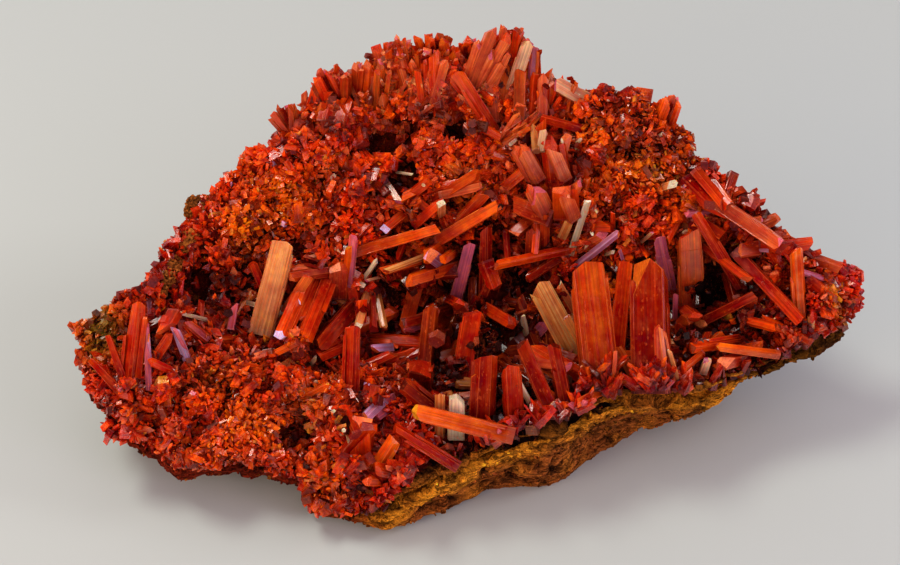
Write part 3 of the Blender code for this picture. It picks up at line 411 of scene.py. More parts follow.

# Look of the crust by place: x, y, grain length, length over width, colour and share of blades
# The dark reds of the hollow's zones are partly the crystals' deeper red and partly painted shade
CRUST_ZONES = [
    (-39, 13, 1.1, 1.3, ORANGE, 0.1), (-32, 24, 1.4, 1.4, RED_ORANGE, 0.1),
    (-51, 12, 1.2, 1.4, RED_ORANGE, 0.1), (-63, -7, 1.3, 1.5, RED, 0.2),
    (-59, -21, 1.4, 1.4, RED, 0.2), (-52, 1, 1.9, 2.4, RED, 0.7),
    (-51, -21, 1.1, 1.3, ORANGE, 0.1), (-40, -21, 1.1, 1.3, ORANGE, 0.1),
    (-29, -27, 1.1, 1.3, ORANGE, 0.1), (-25, -35, 1.5, 1.6, RED, 0.4),
    (-40, -27, 1.2, 1.4, RED_ORANGE, 0.1), (-41, -7, 1.8, 2.2, RED, 0.7),
    (-27, 32, 1.8, 1.6, RED_ORANGE, 0.3), (-9, 33, 2.1, 1.8, RED, 0.5),
    (-5, 26, 1.5, 1.5, RED_ORANGE, 0.3), (-13, 24, 1.1, 1.3, ORANGE, 0.1),
    (-3, 21, 1.2, 1.4, ORANGE, 0.2), (-13, 6, 2.4, 3.0, RED, 0.9),
    (0, 3, 2.6, 3.2, DARK_RED, 1.0), (14, 4, 2.6, 3.2, DARK_RED, 1.0),
    (45, 3, 2.4, 3.0, DARK_RED, 0.9), (49, -9, 2.4, 2.8, DEEP_RED, 0.8),
    (35, 31, 0.9, 1.2, RED_ORANGE, 0.1), (34, 23, 0.9, 1.2, ORANGE, 0.1),
    (25, 16, 1.2, 1.3, ORANGE, 0.1), (40, 13, 1.2, 1.3, ORANGE, 0.1),
    (44, 23, 1.1, 1.2, RED, 0.1), (55, 12, 1.9, 2.0, RED, 0.6),
    (69, 0, 1.7, 1.6, RED, 0.3), (66, -8, 1.5, 1.6, RED, 0.3),
    (9, -21, 2.1, 2.4, DARK_RED, 0.9), (-13, -28, 1.8, 2.0, RED, 0.6),
    (-22, -28, 1.5, 1.8, RED_ORANGE, 0.3), (17, 16, 1.4, 1.4, RED, 0.2),
    (15, 23, 1.4, 2.0, ORANGE, 0.3), (25, 26, 1.2, 1.4, RED_ORANGE, 0.1),
    (-21, 15, 1.5, 1.8, RED_ORANGE, 0.4), (18, 12, 1.7, 1.8, RED, 0.5),
    (-43, 0, 1.9, 2.4, RED, 0.8), (-31, -18, 1.3, 1.5, RED_ORANGE, 0.3),
]
ZONE_REACH = 7.0

# Places with another tint: x, y, radius, colour and strength
TINT_PATCHES = [
    (-68, -9, 4.0, OLIVE, 0.8), (68, -3, 2.0, OCHRE, 0.7), (36, 16, 1.6, GOLD, 0.5),
    (-31, -22, 5.0, BROWN_RED, 0.5), (-42, 12, 4.0, BRIGHT_ORANGE, 0.6), (31, -21, 3.0, OCHRE, 0.5),
]

# Pattern that the druse and the mass under it share
DRUSE_GRAIN = {"streak_width": 0.5, "streak_length": 3.0, "patch_size": 1.3,
               "patch_range": (0.55, 1.4), "edge_highlight_share": 0.0}

# Sizes of the surface detail in millimetres, and numbers of small crystals
SKIN_VOXEL = 0.79
SKIN_LIFT = (-4.5, 0.9)
SKIN_SINK = 0.5
COVERED_LIFT = -1.2
FACET_SIZE = 2.2
FACET_DEPTH = 0.5
HOLLOW_SINK = 2.0
CLUSTER_SIZE = 3.2
GRAIN_COUNT = 21000
GRAIN_BORDERS = (-25, 15)
LUMP_COUNT = 4300
RIDGE_GRAIN_COUNT = 4200
RIDGE_VOXEL = 0.75
RIDGE_BODY_SINK = 2.2
BLADE_COUNT = 2300
PRISM_COUNT = 430
PRISM_REACH = 0.3
MATRIX_VOXEL = 0.74
CRUMB_COUNT = 4000

# Width of the strip along the crust's lower edge that carries no small crystals
EDGE_STRIP = 1.6
FRONT_EDGE_STRIP = 4.2


def linear(hex_colour):
    """An sRGB hex colour as linear red, green and blue."""
    channels = [int(hex_colour[i:i + 2], 16) / 255 for i in (1, 3, 5)]
    return tuple(c / 12.92 if c <= 0.04045 else ((c + 0.055) / 1.055) ** 2.4 for c in channels)


def mixed(first, second, share):
    """What lies between two colours or places, at a share of the way."""
    return tuple(a + (b - a) * share for a, b in zip(first, second))


# Materials

def add_node(tree, kind, settings=(), links=()):
    """Adds a shader node, sets its values and sockets, and links outputs to it. A node that is
    given as a link stands for its first output. The sockets 1 to 4 of a MapRange are the range
    that it reads and the range that it gives."""
    node = tree.nodes.new("ShaderNode" + kind)
    for name, value in dict(settings).items():
        if name == "stops":
            ramp = node.color_ramp.elements
            while len(ramp) < len(value):
                ramp.new(0.5)
            for element, (place, colour) in zip(ramp, value):
                element.position = place
                element.color = (*linear(colour), 1)
        elif isinstance(name, str) and hasattr(node, name):
            setattr(node, name, value)
        else:
            node.inputs[name].default_value = value
    for name, source in dict(links).items():
        output = source.outputs[0] if isinstance(source, bpy.types.Node) else source
        tree.links.new(output, node.inputs[name])
    return node


def new_material(name):
    """An empty material and its node tree."""
    material = bpy.data.materials.new(name)
    material.use_nodes = True
    material.node_tree.nodes.clear()
    return material, material.node_tree


def crocoite(name, streak_width, streak_length, patch_size, patch_range, roughness, transmission,
             edge_highlight_share, foot_shade, specular):
    """Crocoite, lead chromate: adamantine, index 2.3 to 2.6, red-orange right through. Grown faces
    are glossy and striated along the crystal, and flaws inside shine through as paler flakes.
    Streaks and patches are in millimetres. The specular level stands for the share of each face
    that is smooth enough to gleam."""
    material, tree = new_material(name)
    colour, rim, grain, rise = (add_node(tree, "Attribute", {"attribute_name": label})
                                for label in ("colour", "rim", "grain", "rise"))
    streak_place, flake_place, crack_place = (
        add_node(tree, "VectorMath", {"operation": "MULTIPLY", 1: (1 / wide, 1 / wide, 1 / long)},
                 {0: grain.outputs["Vector"]})
        for wide, long in ((streak_width, streak_length), (patch_size * 0.35, patch_size * 1.2),
                           (patch_size * 0.09, patch_size * 0.16)))
    streaks = add_node(tree, "TexNoise", {"Scale": 1.0, "Detail": 3.0, "Roughness": 0.6},
                       {"Vector": streak_place})
    flakes = add_node(tree, "TexNoise", {"Scale": 1.0, "Detail": 3.0, "Roughness": 0.65},
                      {"Vector": flake_place})
    cracks = add_node(tree, "TexVoronoi", {"Scale": 1.0}, {"Vector": crack_place})
    patches = add_node(tree, "TexNoise", {"Scale": 1 / patch_size, "Detail": 4.0, "Roughness": 0.6},
                       {"Vector": grain.outputs["Vector"]})

    # Brightness and hue: streaked, patchy, and with painted shade that darkens towards the foot
    streak_value = add_node(tree, "MapRange", {1: 0.3, 2: 0.72, 3: 0.72, 4: 1.3}, {0: streaks})
    patch_value = add_node(tree, "MapRange", {1: 0.3, 2: 0.7, 3: patch_range[0], 4: patch_range[1]},
                           {0: patches})
    mottled = add_node(tree, "Math", {"operation": "MULTIPLY"}, {0: streak_value, 1: patch_value})
    painted_foot_shade = add_node(tree, "MapRange", {1: 0.0, 2: 1.0, 3: foot_shade, 4: 1.07},
                    {0: rise.outputs["Fac"]})
    value = add_node(tree, "Math", {"operation": "MULTIPLY"}, {0: mottled, 1: painted_foot_shade})
    tip_hue = add_node(tree, "MapRange", {1: 0.0, 2: 1.0, 3: -0.006, 4: 0.004},
                       {0: rise.outputs["Fac"]})
    patch_hue = add_node(tree, "MapRange", {1: 0.3, 2: 0.7, 3: 0.492, 4: 0.51}, {0: patches})
    hue = add_node(tree, "Math", {"operation": "ADD"}, {0: patch_hue, 1: tip_hue})
    varied = add_node(tree, "HueSaturation", {"Saturation": 1.0},
                      {"Hue": hue, "Value": value, "Color": colour})

    # Paler flaws inside, and a painted highlight along the edges
    few = add_node(tree, "MapRange", {1: 0.8, 2: 0.88, 3: 0.0, 4: 0.3}, {0: cracks.outputs["Color"]})
    wide = add_node(tree, "MapRange", {1: 0.56, 2: 0.74, 3: 0.0, 4: 0.17}, {0: flakes})
    flaws = add_node(tree, "Math", {"operation": "ADD"}, {0: few, 1: wide})
    flawed = add_node(tree, "Mix", {"data_type": "RGBA", 7: (*linear(FLAW), 1)},
                      {0: flaws, 6: varied})
    edge_highlight_amount = add_node(tree, "Math", {"operation": "MULTIPLY", 1: edge_highlight_share},
                          {0: rim.outputs["Fac"]})
    edge_highlighted = add_node(tree, "Mix", {"data_type": "RGBA", 7: (*linear(EDGE_HIGHLIGHT), 1)},
                      {0: edge_highlight_amount, 6: flawed.outputs[2]})

    # Gloss: uneven on the faces and dull at the foot
    gloss = add_node(tree, "MapRange", {1: 0.35, 2: 0.7, 3: roughness * 0.6, 4: roughness * 1.7},
                     {0: flakes})
    foot_gloss = add_node(tree, "MapRange", {1: 0.0, 2: 0.1, 3: 0.4, 4: 0.0},
                          {0: rise.outputs["Fac"]})
    dulled = add_node(tree, "Math", {"operation": "ADD"}, {0: gloss, 1: foot_gloss})
    height = add_node(tree, "Math", {"operation": "MULTIPLY_ADD", 1: 0.8}, {0: flakes, 2: streaks})
    relief = add_node(tree, "Bump", {"Strength": 0.6, "Distance": 0.15 * MM}, {"Height": height})
    shader = add_node(tree, "BsdfPrincipled",
                      {"IOR": 2.35, "Transmission Weight": transmission, "Metallic": 0.0,
                       "Specular IOR Level": specular, "Subsurface Weight": 0.3,
                       "Subsurface Radius": (1.0, 0.1, 0.02), "Subsurface Scale": 0.6 * MM},
                      {"Base Color": edge_highlighted.outputs[2], "Roughness": dulled, "Normal": relief})
    add_node(tree, "OutputMaterial", links={"Surface": shader})
    return material


def limonite(name):
    """Limonite, a porous mass of iron hydroxides weathered from the ore: earthy and matt, ochre
    where it is powdery and brown where it is firm, with black-brown pores."""
    material, tree = new_material(name)
    colour = add_node(tree, "Attribute", {"attribute_name": "colour"})
    place = add_node(tree, "TexCoord")
    to_mm = add_node(tree, "VectorMath", {"operation": "SCALE", "Scale": 1 / MM},
                     {0: place.outputs["Object"]})

    # Level layers of about a millimetre, grit of a third of a millimetre, and wavy crevices
    layers, sheets = (add_node(tree, "VectorMath", {"operation": "MULTIPLY", 1: squeeze}, {0: to_mm})
                      for squeeze in ((0.35, 0.35, 1.6), (0.16, 0.16, 0.55)))
    bands = add_node(tree, "TexNoise", {"Scale": 1.0, "Detail": 6.0, "Roughness": 0.65,
                                        "Distortion": 0.8}, {"Vector": layers})
    grit = add_node(tree, "TexNoise", {"Scale": 2.8, "Detail": 5.0, "Roughness": 0.7},
                    {"Vector": to_mm})
    waves = add_node(tree, "TexNoise", {"Scale": 1.0, "Detail": 5.0, "Roughness": 0.7,
                                        "Distortion": 1.6}, {"Vector": sheets})
    offset = add_node(tree, "Math", {"operation": "SUBTRACT", 1: 0.5}, {0: waves})
    distance = add_node(tree, "Math", {"operation": "ABSOLUTE"}, {0: offset})
    crevice = add_node(tree, "MapRange", {1: 0.0, 2: 0.045, 3: 0.14, 4: 1.2}, {0: distance})
    value = add_node(tree, "MapRange", {1: 0.32, 2: 0.68, 3: 0.35, 4: 1.45}, {0: bands})
    fine = add_node(tree, "MapRange", {1: 0.3, 2: 0.7, 3: 0.5, 4: 1.5}, {0: grit})
    grainy = add_node(tree, "Math", {"operation": "MULTIPLY"}, {0: value, 1: fine})
    both = add_node(tree, "Math", {"operation": "MULTIPLY"}, {0: grainy, 1: crevice})
    varied = add_node(tree, "HueSaturation", {}, {"Value": both, "Color": colour})
    height = add_node(tree, "Math", {"operation": "ADD"}, {0: bands, 1: grit})
    relief = add_node(tree, "Bump", {"Strength": 0.9, "Distance": 0.4 * MM}, {"Height": height})
    shader = add_node(tree, "BsdfPrincipled", {"Roughness": 0.93, "IOR": 1.5, "Metallic": 0.0,
                                               "Specular IOR Level": 0.12},
                      {"Base Color": varied, "Normal": relief})
    add_node(tree, "OutputMaterial", links={"Surface": shader})
    return material


def pale_paper(name):
    """Matt paper under the specimen, with faint mottling."""
    material, tree = new_material(name)
    mottle = add_node(tree, "TexNoise", {"Scale": 9.0, "Detail": 2.0})
    tone = add_node(tree, "ValToRGB", {"stops": [(0.3, PAPER_SHADE), (0.7, PAPER_LIGHT)]},
                    {"Fac": mottle})
    shader = add_node(tree, "BsdfPrincipled", {"Roughness": 0.7}, {"Base Color": tone})
    add_node(tree, "OutputMaterial", links={"Surface": shader})
    return material


# Meshes and objects

def scene_object(name, data):
    """A new object in the scene."""
    made = bpy.data.objects.new(name, data)
    bpy.context.scene.collection.objects.link(made)
    return made


def as_mesh(bm, name):
    """A bmesh turned into a mesh."""
    mesh = bpy.data.meshes.new(name)
    bm.to_mesh(mesh)
    bm.free()
    return mesh


def bmesh_object(name, bm):
    """A new object in the scene from a bmesh."""
    return scene_object(name, as_mesh(bm, name))


def array_mesh(name, points, faces, colours, grain, rise=None):
    """An object from arrays: points and grain in millimetres, and for each point a colour and its
    rise, 0 at the foot of its crystal and 1 at the tip."""
    mesh = bpy.data.meshes.new(name)
    mesh.from_pydata(points * MM, [], faces)
    for label, kind, key, values in (("colour", "FLOAT_COLOR", "color", with_alpha(colours)),
                                     ("grain", "FLOAT_VECTOR", "vector", grain),
                                     ("rise", "FLOAT", "value", rise)):
        if values is not None:
            layer = mesh.attributes.new(label, kind, "POINT")
            layer.data.foreach_set(key, np.ascontiguousarray(values, np.float32).ravel())
    return scene_object(name, mesh)


def with_alpha(colours):
    """Opaque colours of four channels from colours of three."""
    return np.concatenate([colours, np.ones((len(colours), 1))], axis=1)


def mesh_arrays(mesh):
    """Points in millimetres and triangles of a mesh."""
    mesh.calc_loop_triangles()
    points = np.empty(len(mesh.vertices) * 3, np.float32)
    mesh.vertices.foreach_get("co", points)
    faces = np.empty(len(mesh.loop_triangles) * 3, np.int32)
    mesh.loop_triangles.foreach_get("vertices", faces)
    return points.reshape(-1, 3).astype(float) / MM, faces.reshape(-1, 3)


def tree_of(points, faces):
    """A search tree over a mesh."""
    return BVHTree.FromPolygons(points.tolist(), faces.tolist())


def remeshed(node, voxel):
    """The node's shape as an even fine mesh: points in millimetres, and faces."""
    bm = bmesh.new()
    bm.from_mesh(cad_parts[node].data)
    bmesh.ops.remove_doubles(bm, verts=bm.verts, dist=0.005 * MM)
    return even_mesh(as_mesh(bm, node + "_fine"), voxel)


def even_mesh(mesh, voxel):
    """A mesh made even and fine: points in millimetres, their normals, and faces."""
    helper = scene_object(mesh.name, mesh)
    step = helper.modifiers.new("even", "REMESH")
    step.mode = "VOXEL"
    step.voxel_size = voxel * MM
    graph = bpy.context.evaluated_depsgraph_get()
    fine = bpy.data.meshes.new_from_object(helper.evaluated_get(graph))
    bpy.data.objects.remove(helper)
    points = np.array([v.co for v in fine.vertices]) / MM
    normals = np.array([v.normal for v in fine.vertices])
    faces = [tuple(p.vertices) for p in fine.polygons]
    return points, normals, faces


# Colour and size of the crust by place

ZONE_PLACES = np.array([zone[:2] for zone in CRUST_ZONES], float)
ZONE_SIZES = np.array([(zone[2], zone[3], zone[5]) for zone in CRUST_ZONES], float)
ZONE_COLOURS = np.array([linear(zone[4]) for zone in CRUST_ZONES])


Look = namedtuple("Look", "size slender blades colours")


def crust_look(points):
    """Grain length, length over width, share of blades and colour at each point."""
    squared = ((points[:, None, :2] - ZONE_PLACES[None]) ** 2).sum(-1)
    nearness = np.exp(-(squared - squared.min(1, keepdims=True)) / (2 * ZONE_REACH ** 2))
    nearness /= nearness.sum(1, keepdims=True)
    sizes = nearness @ ZONE_SIZES
    colours = nearness @ ZONE_COLOURS
    for x, y, radius, colour, strength in TINT_PATCHES:
        distance = np.hypot(points[:, 0] - x, points[:, 1] - y) / radius
        share = (strength * np.exp(-distance ** 2))[:, None]
        colours = colours * (1 - share) + np.array(linear(colour)) * share
    return Look(sizes[:, 0], sizes[:, 1], sizes[:, 2], colours)


# Relief and colour of the limonite

ROCK_BROWN, ROCK_OCHRE, ROCK_DARK, ROCK_MAROON = (
    np.array(linear(shade)) for shade in ("#A8622C", "#DE942C", "#341C0C", "#7E2C16"))


def rock_relief(point):
    """Height of the limonite's wavy sheets, knobs and pores."""
    warp = noise.noise(point / 9) * 2.5
    sheet = noise.noise(Vector((point.x / 4.5, point.y / 4.5, (point.z + warp) / 0.9)))
    pore = max(0.0, noise.noise(point / 2.1 + Vector((40, 0, 0))) - 0.25)
    knob = noise.noise(point / 3.2)
    return 0.75 * sheet + 0.55 * knob + 0.3 * noise.noise(point / 1.1) - 2.2 * pore


def rock_colour(point, lift, powder):
    """Brown with ochre powder, dark in its hollows, darker with painted shade at the right end, and
    maroon at the left.
    """
    shade = ROCK_BROWN + (ROCK_OCHRE - ROCK_BROWN) * max(0.0, min(1.0, powder))
    shade = shade + (ROCK_DARK - shade) * max(0.0, min(1.0, -1.3 * lift, 0.9))
    # Painted shade: the overhanging right end is darker
    shade = shade + (ROCK_DARK - shade) * max(0.0, min(0.8, (point.x - 50) / 10))
    # Maroon at the front left: partly painted shade under the overhang, partly the crust's red
    maroon_shade_share = (-12 - point.x + 10 * noise.noise(point / 7)) / 14
    maroon_shade_share *= max(0.2, min(1.0, (8 - point.y) / 14 + 0.5 * noise.noise(point / 5)))
    return shade + (ROCK_MAROON - shade) * max(0.0, min(1.0, maroon_shade_share))


# Crust skin

def facet_relief(point):
    """Height of small crystal faces: each cell of the pattern is a plane with its own slope."""
    distances, centres = noise.voronoi(point / FACET_SIZE)
    centre = centres[0]
    slope = noise.cell_vector(centre * 7.3 + Vector((0.5, 0.5, 0.5))) * 2 - Vector((1, 1, 1))
    rise = slope.dot(point / FACET_SIZE - centre)
    crease = min(distances[1] - distances[0], 0.12) / 0.12 - 1
    return FACET_DEPTH * (rise * 1.6 + 0.35 * crease)


def lump_height(point):
    """Rise and fall of the crust in lumps of a few millimetres, with pits between them."""
    lumps = noise.noise(point / 4.2)
    pit = max(0.0, -0.24 - noise.noise(point / 2.9 + Vector((17, 3, 9))))
    return 2.3 * lumps - 5.0 * pit


def pit_share(pits, points):
    """How deep in a gap each point lies: 1 at its middle and 0 outside."""
    share = np.zeros(len(points))
    for place, radius in pits:
        distance = np.linalg.norm(points - place, axis=1) / radius
        share = np.maximum(share, np.clip(1.25 - distance ** 2, 0, 1))
    return share


def in_picture(points):
    """Columns and rows at which the camera sees points of the specimen."""
    forward = np.array(FORWARD)
    from_camera = points - (np.array(CAMERA_TARGET) - forward * CAMERA_DISTANCE)
    scale = LENS_MM / SENSOR_MM * PICTURE_WIDTH / (from_camera @ forward)
    columns = PICTURE_CENTRE[0] + from_camera[:, 0] * scale
    return columns, PICTURE_CENTRE[1] - (from_camera @ np.array(PICTURE_UP)) * scale


def past_edge(points):
    """How many picture points each point of the front lies below the edge of the crust."""
    columns, rows = in_picture(points)
    edge_columns, edge_rows = np.array(CRUST_EDGE, float).T
    below = rows - np.interp(columns, edge_columns, edge_rows)
    within = (columns > edge_columns[0]) & (columns < edge_columns[-1]) & (points[:, 1] < 0)
    return np.where(within, below, -100.0)


def crust_skin(pits):
    """The druse under the small crystals: the solid crust broken into crystal faces and pits. It
    gives the skin, its height over the solid at each point and which faces are bare limonite."""
    points, normals, faces = remeshed("crocoite_crust", SKIN_VOXEL)
    _, _, blades, colours = crust_look(points)
    below = past_edge(points)
    lift = np.empty(len(points))
    for i, place in enumerate(points):
        point = Vector(place)
        if below[i] > 0:
            lift[i] = 0.8 * rock_relief(point)
            colours[i] = rock_colour(point, lift[i], 0.55 + 0.5 * noise.noise(point / 5))
        else:
            lift[i] = lump_height(point) + facet_relief(point) + 0.3 * noise.noise(point / 0.8)
    lift = np.clip(lift, *SKIN_LIFT) - SKIN_SINK
    covered = on_crust_crystals(points)
    lift = np.where(covered, COVERED_LIFT, lift)
    upward = np.clip(normals[:, 2] * 2, 0, 1)
    lift -= HOLLOW_SINK * upward * np.clip((blades - 0.45) * 3, 0, 1)
    # Painted shade: the skin is darker low in its valleys and where blades crowd in the hollow
    shade = np.where(below > 0, 1.0, np.clip(0.65 + 0.3 * lift - 0.5 * blades, 0.1, 0.95))
    shade = np.where(covered, 0.8, shade)
    deep = pit_share(pits, points)
    lift -= PIT_DEPTH * deep + 0.9 * np.clip(below / 6 + 1, 0, 1)
    # Painted shade: darker in the deep gaps and along the crust's edge over the matrix
    shade *= (1 - 0.92 * deep) * (1 - 0.6 * np.exp(-(below / 4) ** 2))
    skin = array_mesh("druse_skin", points + normals * lift[:, None], faces,
                      colours * shade[:, None], points)
    bare = ((below > -5) | (deep > 0.5))[np.array(faces)].all(1)
    return skin, lift, bare


# Many small crystals

def small_form(sides, slant, taper, skew):
    """A closed small prism of unit length and width, narrowing to a slanted tip."""
    angles = np.arange(sides) * 2 * math.pi / sides + math.pi / sides
    ring = np.stack([np.cos(angles), np.sin(angles)], axis=1)
    ring = ring / np.abs(ring).max(0) / 2
    ring[:, 1] += skew * ring[:, 0]
    tops = 1 - slant * (ring[:, 0] + 0.5) - 0.15 * slant * ring[:, 1]
    base = np.column_stack([ring, np.zeros(sides)])
    top = np.column_stack([ring * taper, tops])
    faces = []
    for i in range(sides):
        j = (i + 1) % sides
        faces += [(i, j, sides + j), (i, sides + j, sides + i)]
    for i in range(1, sides - 1):
        faces += [(0, i + 1, i), (sides, sides + i, sides + i + 1)]
    return np.vstack([base, top]), np.array(faces)


SMALL_FORMS = [
    small_form(4, 0.25, 0.9, 0.1), small_form(4, 0.4, 0.8, 0.0), small_form(4, 0.15, 0.75, 0.3),
    small_form(5, 0.3, 0.8, 0.0), small_form(4, 0.6, 0.8, -0.2), small_form(6, 0.2, 0.65, 0.0),
]


def directions_to_frames(along, guide):
    """A right-handed frame about each direction: columns across, through and along."""
    across = guide - along * (guide * along).sum(1, keepdims=True)
    across /= np.linalg.norm(across, axis=1, keepdims=True) + 1e-9
    through = np.cross(along, across)
    return np.stack([across, through, along], axis=2)


def cluster_vectors(points, size, salt):
    """A vector for each point, the same for all the points of one irregular cluster."""
    bent = points + 0.9 * np.sin(points[:, [1, 2, 0]] * 1.7 + salt)
    cell = np.floor(bent / size)
    mixes = np.array([[12.9898, 78.233, 37.719], [39.346, 11.135, 83.155], [73.156, 52.235, 9.151]])
    return 2 * np.modf(np.abs(np.sin(cell @ mixes + salt)) * 4375.85)[0] - 1


def small_crystals(name, feet, along, lengths, widths, colours, draw, flatness):
    """One mesh of many closed small crystals. Flatness is thickness over width."""
    count = len(feet)
    guide = cluster_vectors(feet, CLUSTER_SIZE, 5.0) + draw.normal(scale=0.25, size=(count, 3))
    frames = directions_to_frames(along, guide)
    sizes = np.stack([widths, widths * flatness, lengths], axis=1)
    which = draw.integers(len(SMALL_FORMS), size=count)
    shift = draw.uniform(0, 60, (count, 3))
    parts = {"points": [], "faces": [], "colours": [], "grain": [], "rise": []}
    start = 0
    for index, (form, faces) in enumerate(SMALL_FORMS):
        chosen = np.flatnonzero(which == index)
        local = form[None] * sizes[chosen, None]
        placed = np.einsum("nij,nvj->nvi", frames[chosen], local) + feet[chosen, None]
        offsets = start + np.arange(len(chosen))[:, None, None] * len(form)
        parts["points"].append(placed.reshape(-1, 3))
        parts["faces"].append((faces[None] + offsets).reshape(-1, 3))
        parts["colours"].append(np.repeat(colours[chosen], len(form), axis=0))
        parts["grain"].append((local + shift[chosen, None]).reshape(-1, 3))
        parts["rise"].append(np.tile(form[:, 2], len(chosen)))
        start += len(chosen) * len(form)
    joined = {key: np.concatenate(values) for key, values in parts.items()}
    return array_mesh(name, joined["points"], joined["faces"], joined["colours"],
                      joined["grain"], joined["rise"])


class Surface:
    """The outside of a piece, on which small crystals are placed."""

    def __init__(self, piece):
        points, self.faces = mesh_arrays(piece.data)
        self.corners = points[self.faces]
        cross = np.cross(self.corners[:, 1] - self.corners[:, 0],
                         self.corners[:, 2] - self.corners[:, 0])
        self.weights = np.linalg.norm(cross, axis=1) + 1e-12
        self.normals = cross / self.weights[:, None]
        self.centres = self.corners.mean(1)

    def pick(self, count, weights, draw):
        """Random places, the directions that they face and the indices of their faces."""
        share = self.weights * weights
        chosen = draw.choice(len(share), size=count, p=share / share.sum())
        a, b = draw.random((2, count, 1))
        fold = a + b > 1
        a, b = np.where(fold, 1 - a, a), np.where(fold, 1 - b, b)
        corner = self.corners[chosen]
        places = corner[:, 0] + a * (corner[:, 1] - corner[:, 0]) + b * (corner[:, 2] - corner[:, 0])
        return places, self.normals[chosen], chosen


def crust_surface(skin, lift, rock_tree, pits):
    """The part of the crust's skin that carries small crystals."""
    surface = Surface(skin)
    surface.lift = lift[surface.faces].mean(1)
    outer = ~on_crust_crystals(surface.centres)
    for i in np.flatnonzero(outer & (surface.normals[:, 2] < 0.3)):
        x, y, _ = surface.centres[i]
        strip = FRONT_EDGE_STRIP if x > -14 and y < -14 else EDGE_STRIP
        away = rock_tree.find_nearest(Vector(surface.centres[i]))[3]
        outer[i] = away > strip and surface.normals[i, 2] > -0.6
    over_pits = surface.centres + 0.6 * PIT_DEPTH * surface.normals
    outer &= (pit_share(pits, over_pits) < 0.35) & (pit_share(pits, surface.centres) < 0.35)
    outer &= past_edge(surface.centres) < -3
    surface.weights = np.where(outer, surface.weights, 0)
    return surface


def on_crust_crystals(points):
    """Which points lie on the larger crystals of the crust."""
    found = np.zeros(len(points), bool)
    for foot, tip, width in CRUST_CRYSTALS:
        a, b = (np.array(end) - np.array(BOX_CENTRE) for end in (foot, tip))
        along = b - a
        share = np.clip((points - a) @ along / (along @ along), 0.25, 1.1)
        found |= np.linalg.norm(points - a - share[:, None] * along, axis=1) < width * 0.75 + 0.3
    return found


def leaning(normals, places, spread, cluster, draw):
    """Directions near the normals, alike within a cluster and different between clusters."""
    along = normals + cluster_vectors(places, CLUSTER_SIZE, 1.0) * cluster
    along += draw.normal(size=normals.shape) * spread
    return along / np.linalg.norm(along, axis=1, keepdims=True)


def rooted(feet, normals, lengths, draw, spread, cluster, sunk):
    """Leaning directions for crystals, and their feet sunk by a share of their lengths."""
    along = leaning(normals, feet, spread, cluster, draw)
    return along, feet - along * sunk * lengths[:, None]


def drift(points, size, salt):
    """A slow variation over the specimen, mostly between -1 and 1."""
    scaled = points / size
    total = np.zeros(len(points))
    for turn, direction in enumerate(((1.0, 0.7, 0.3), (-0.6, 1.1, 0.5), (0.4, -0.5, 1.2))):
        bend = 1.3 * np.sin(scaled[:, (turn + 1) % 3] * 1.7 + salt)
        total += np.sin(scaled @ np.array(direction) * 2.1 + salt * (turn + 1) + bend)
    return total / 2


def shifted_colours(colours, places, draw, spread, accents, hue_drift=0.45):
    """Colours that drift over the specimen and vary a little between crystals, with a share of
    accents: (share, hex)."""
    count = len(colours)
    value = 0.22 * drift(places, 4.0, 2.0) + draw.normal(scale=spread, size=count)
    green = hue_drift * drift(places, 6.0, 7.0) + draw.normal(size=count) * hue_drift * spread * 2.5
    varied = colours * np.exp(value)[:, None]
    varied[:, 1] *= np.exp(green)
    roll = draw.random(count)
    low = 0.0
    for share, accent in accents:
        mask = (roll >= low) & (roll < low + share)
        varied[mask] = varied[mask] * 0.3 + np.array(linear(accent)) * 0.7
        low += share
    return np.clip(varied, 0, 1)


def valley_shade(lift):
    """Painted shade: crystals low in the crust are darker, and those on its tops a little lighter."""
    return np.clip(1.15 + 0.3 * lift, 0.28, 1.25)[:, None]


def druse_grains(places, draw):
    """Crystals of about a millimetre all over the crust, in three pieces side by side."""
    blades = crust_look(places.centres).blades
    feet, normals, chosen = places.pick(GRAIN_COUNT, (1.05 - blades) ** 1.5, draw)
    lift = places.lift[chosen]
    size, slender, _, colours = crust_look(feet)
    lengths = size * np.exp(draw.normal(scale=0.35, size=GRAIN_COUNT))
    widths = lengths / (slender * draw.uniform(0.7, 1.5, GRAIN_COUNT))
    along, feet = rooted(feet, normals, lengths, draw, spread=0.45, cluster=0.8, sunk=0.4)
    # The cream and lavender accents are painted glints
    accents = [(0.003, CREAM), (0.002, LAVENDER_SHEEN), (0.03, GOLD), (0.03, SALMON)]
    colours = shifted_colours(colours * valley_shade(lift), feet, draw, 0.14, accents)
    pieces = []
    third = np.digitize(feet[:, 0], GRAIN_BORDERS)
    for index, side in enumerate(("left", "middle", "right")):
        chosen = third == index
        pieces.append(small_crystals(f"druse_grains_{side}", feet[chosen], along[chosen],
                                     lengths[chosen], widths[chosen], colours[chosen], draw,
                                     flatness=0.45))
    return pieces


def druse_lumps(places, draw):
    """Blunt crystals of 2 to 4 mm, sunk in the crust so that they run together in one mass."""
    size, _, blades, _ = crust_look(places.centres)
    weights = (0.05 + np.clip((size - 0.95) / 0.5, 0, 1)) * (1.1 - 0.7 * blades)
    feet, normals, chosen = places.pick(LUMP_COUNT, weights, draw)
    lift = places.lift[chosen]
    colours = crust_look(feet).colours
    lengths = draw.uniform(2.0, 4.0, LUMP_COUNT)
    widths = lengths * draw.uniform(0.3, 0.6, LUMP_COUNT)
    along, feet = rooted(feet, normals, lengths, draw, spread=0.3, cluster=0.8, sunk=0.62)
    accents = [(0.05, SALMON), (0.05, ORANGE)]
    colours = shifted_colours(colours * valley_shade(lift), feet, draw, 0.1, accents)
    return small_crystals("druse_lumps", feet, along, lengths, widths, colours, draw, flatness=0.8)


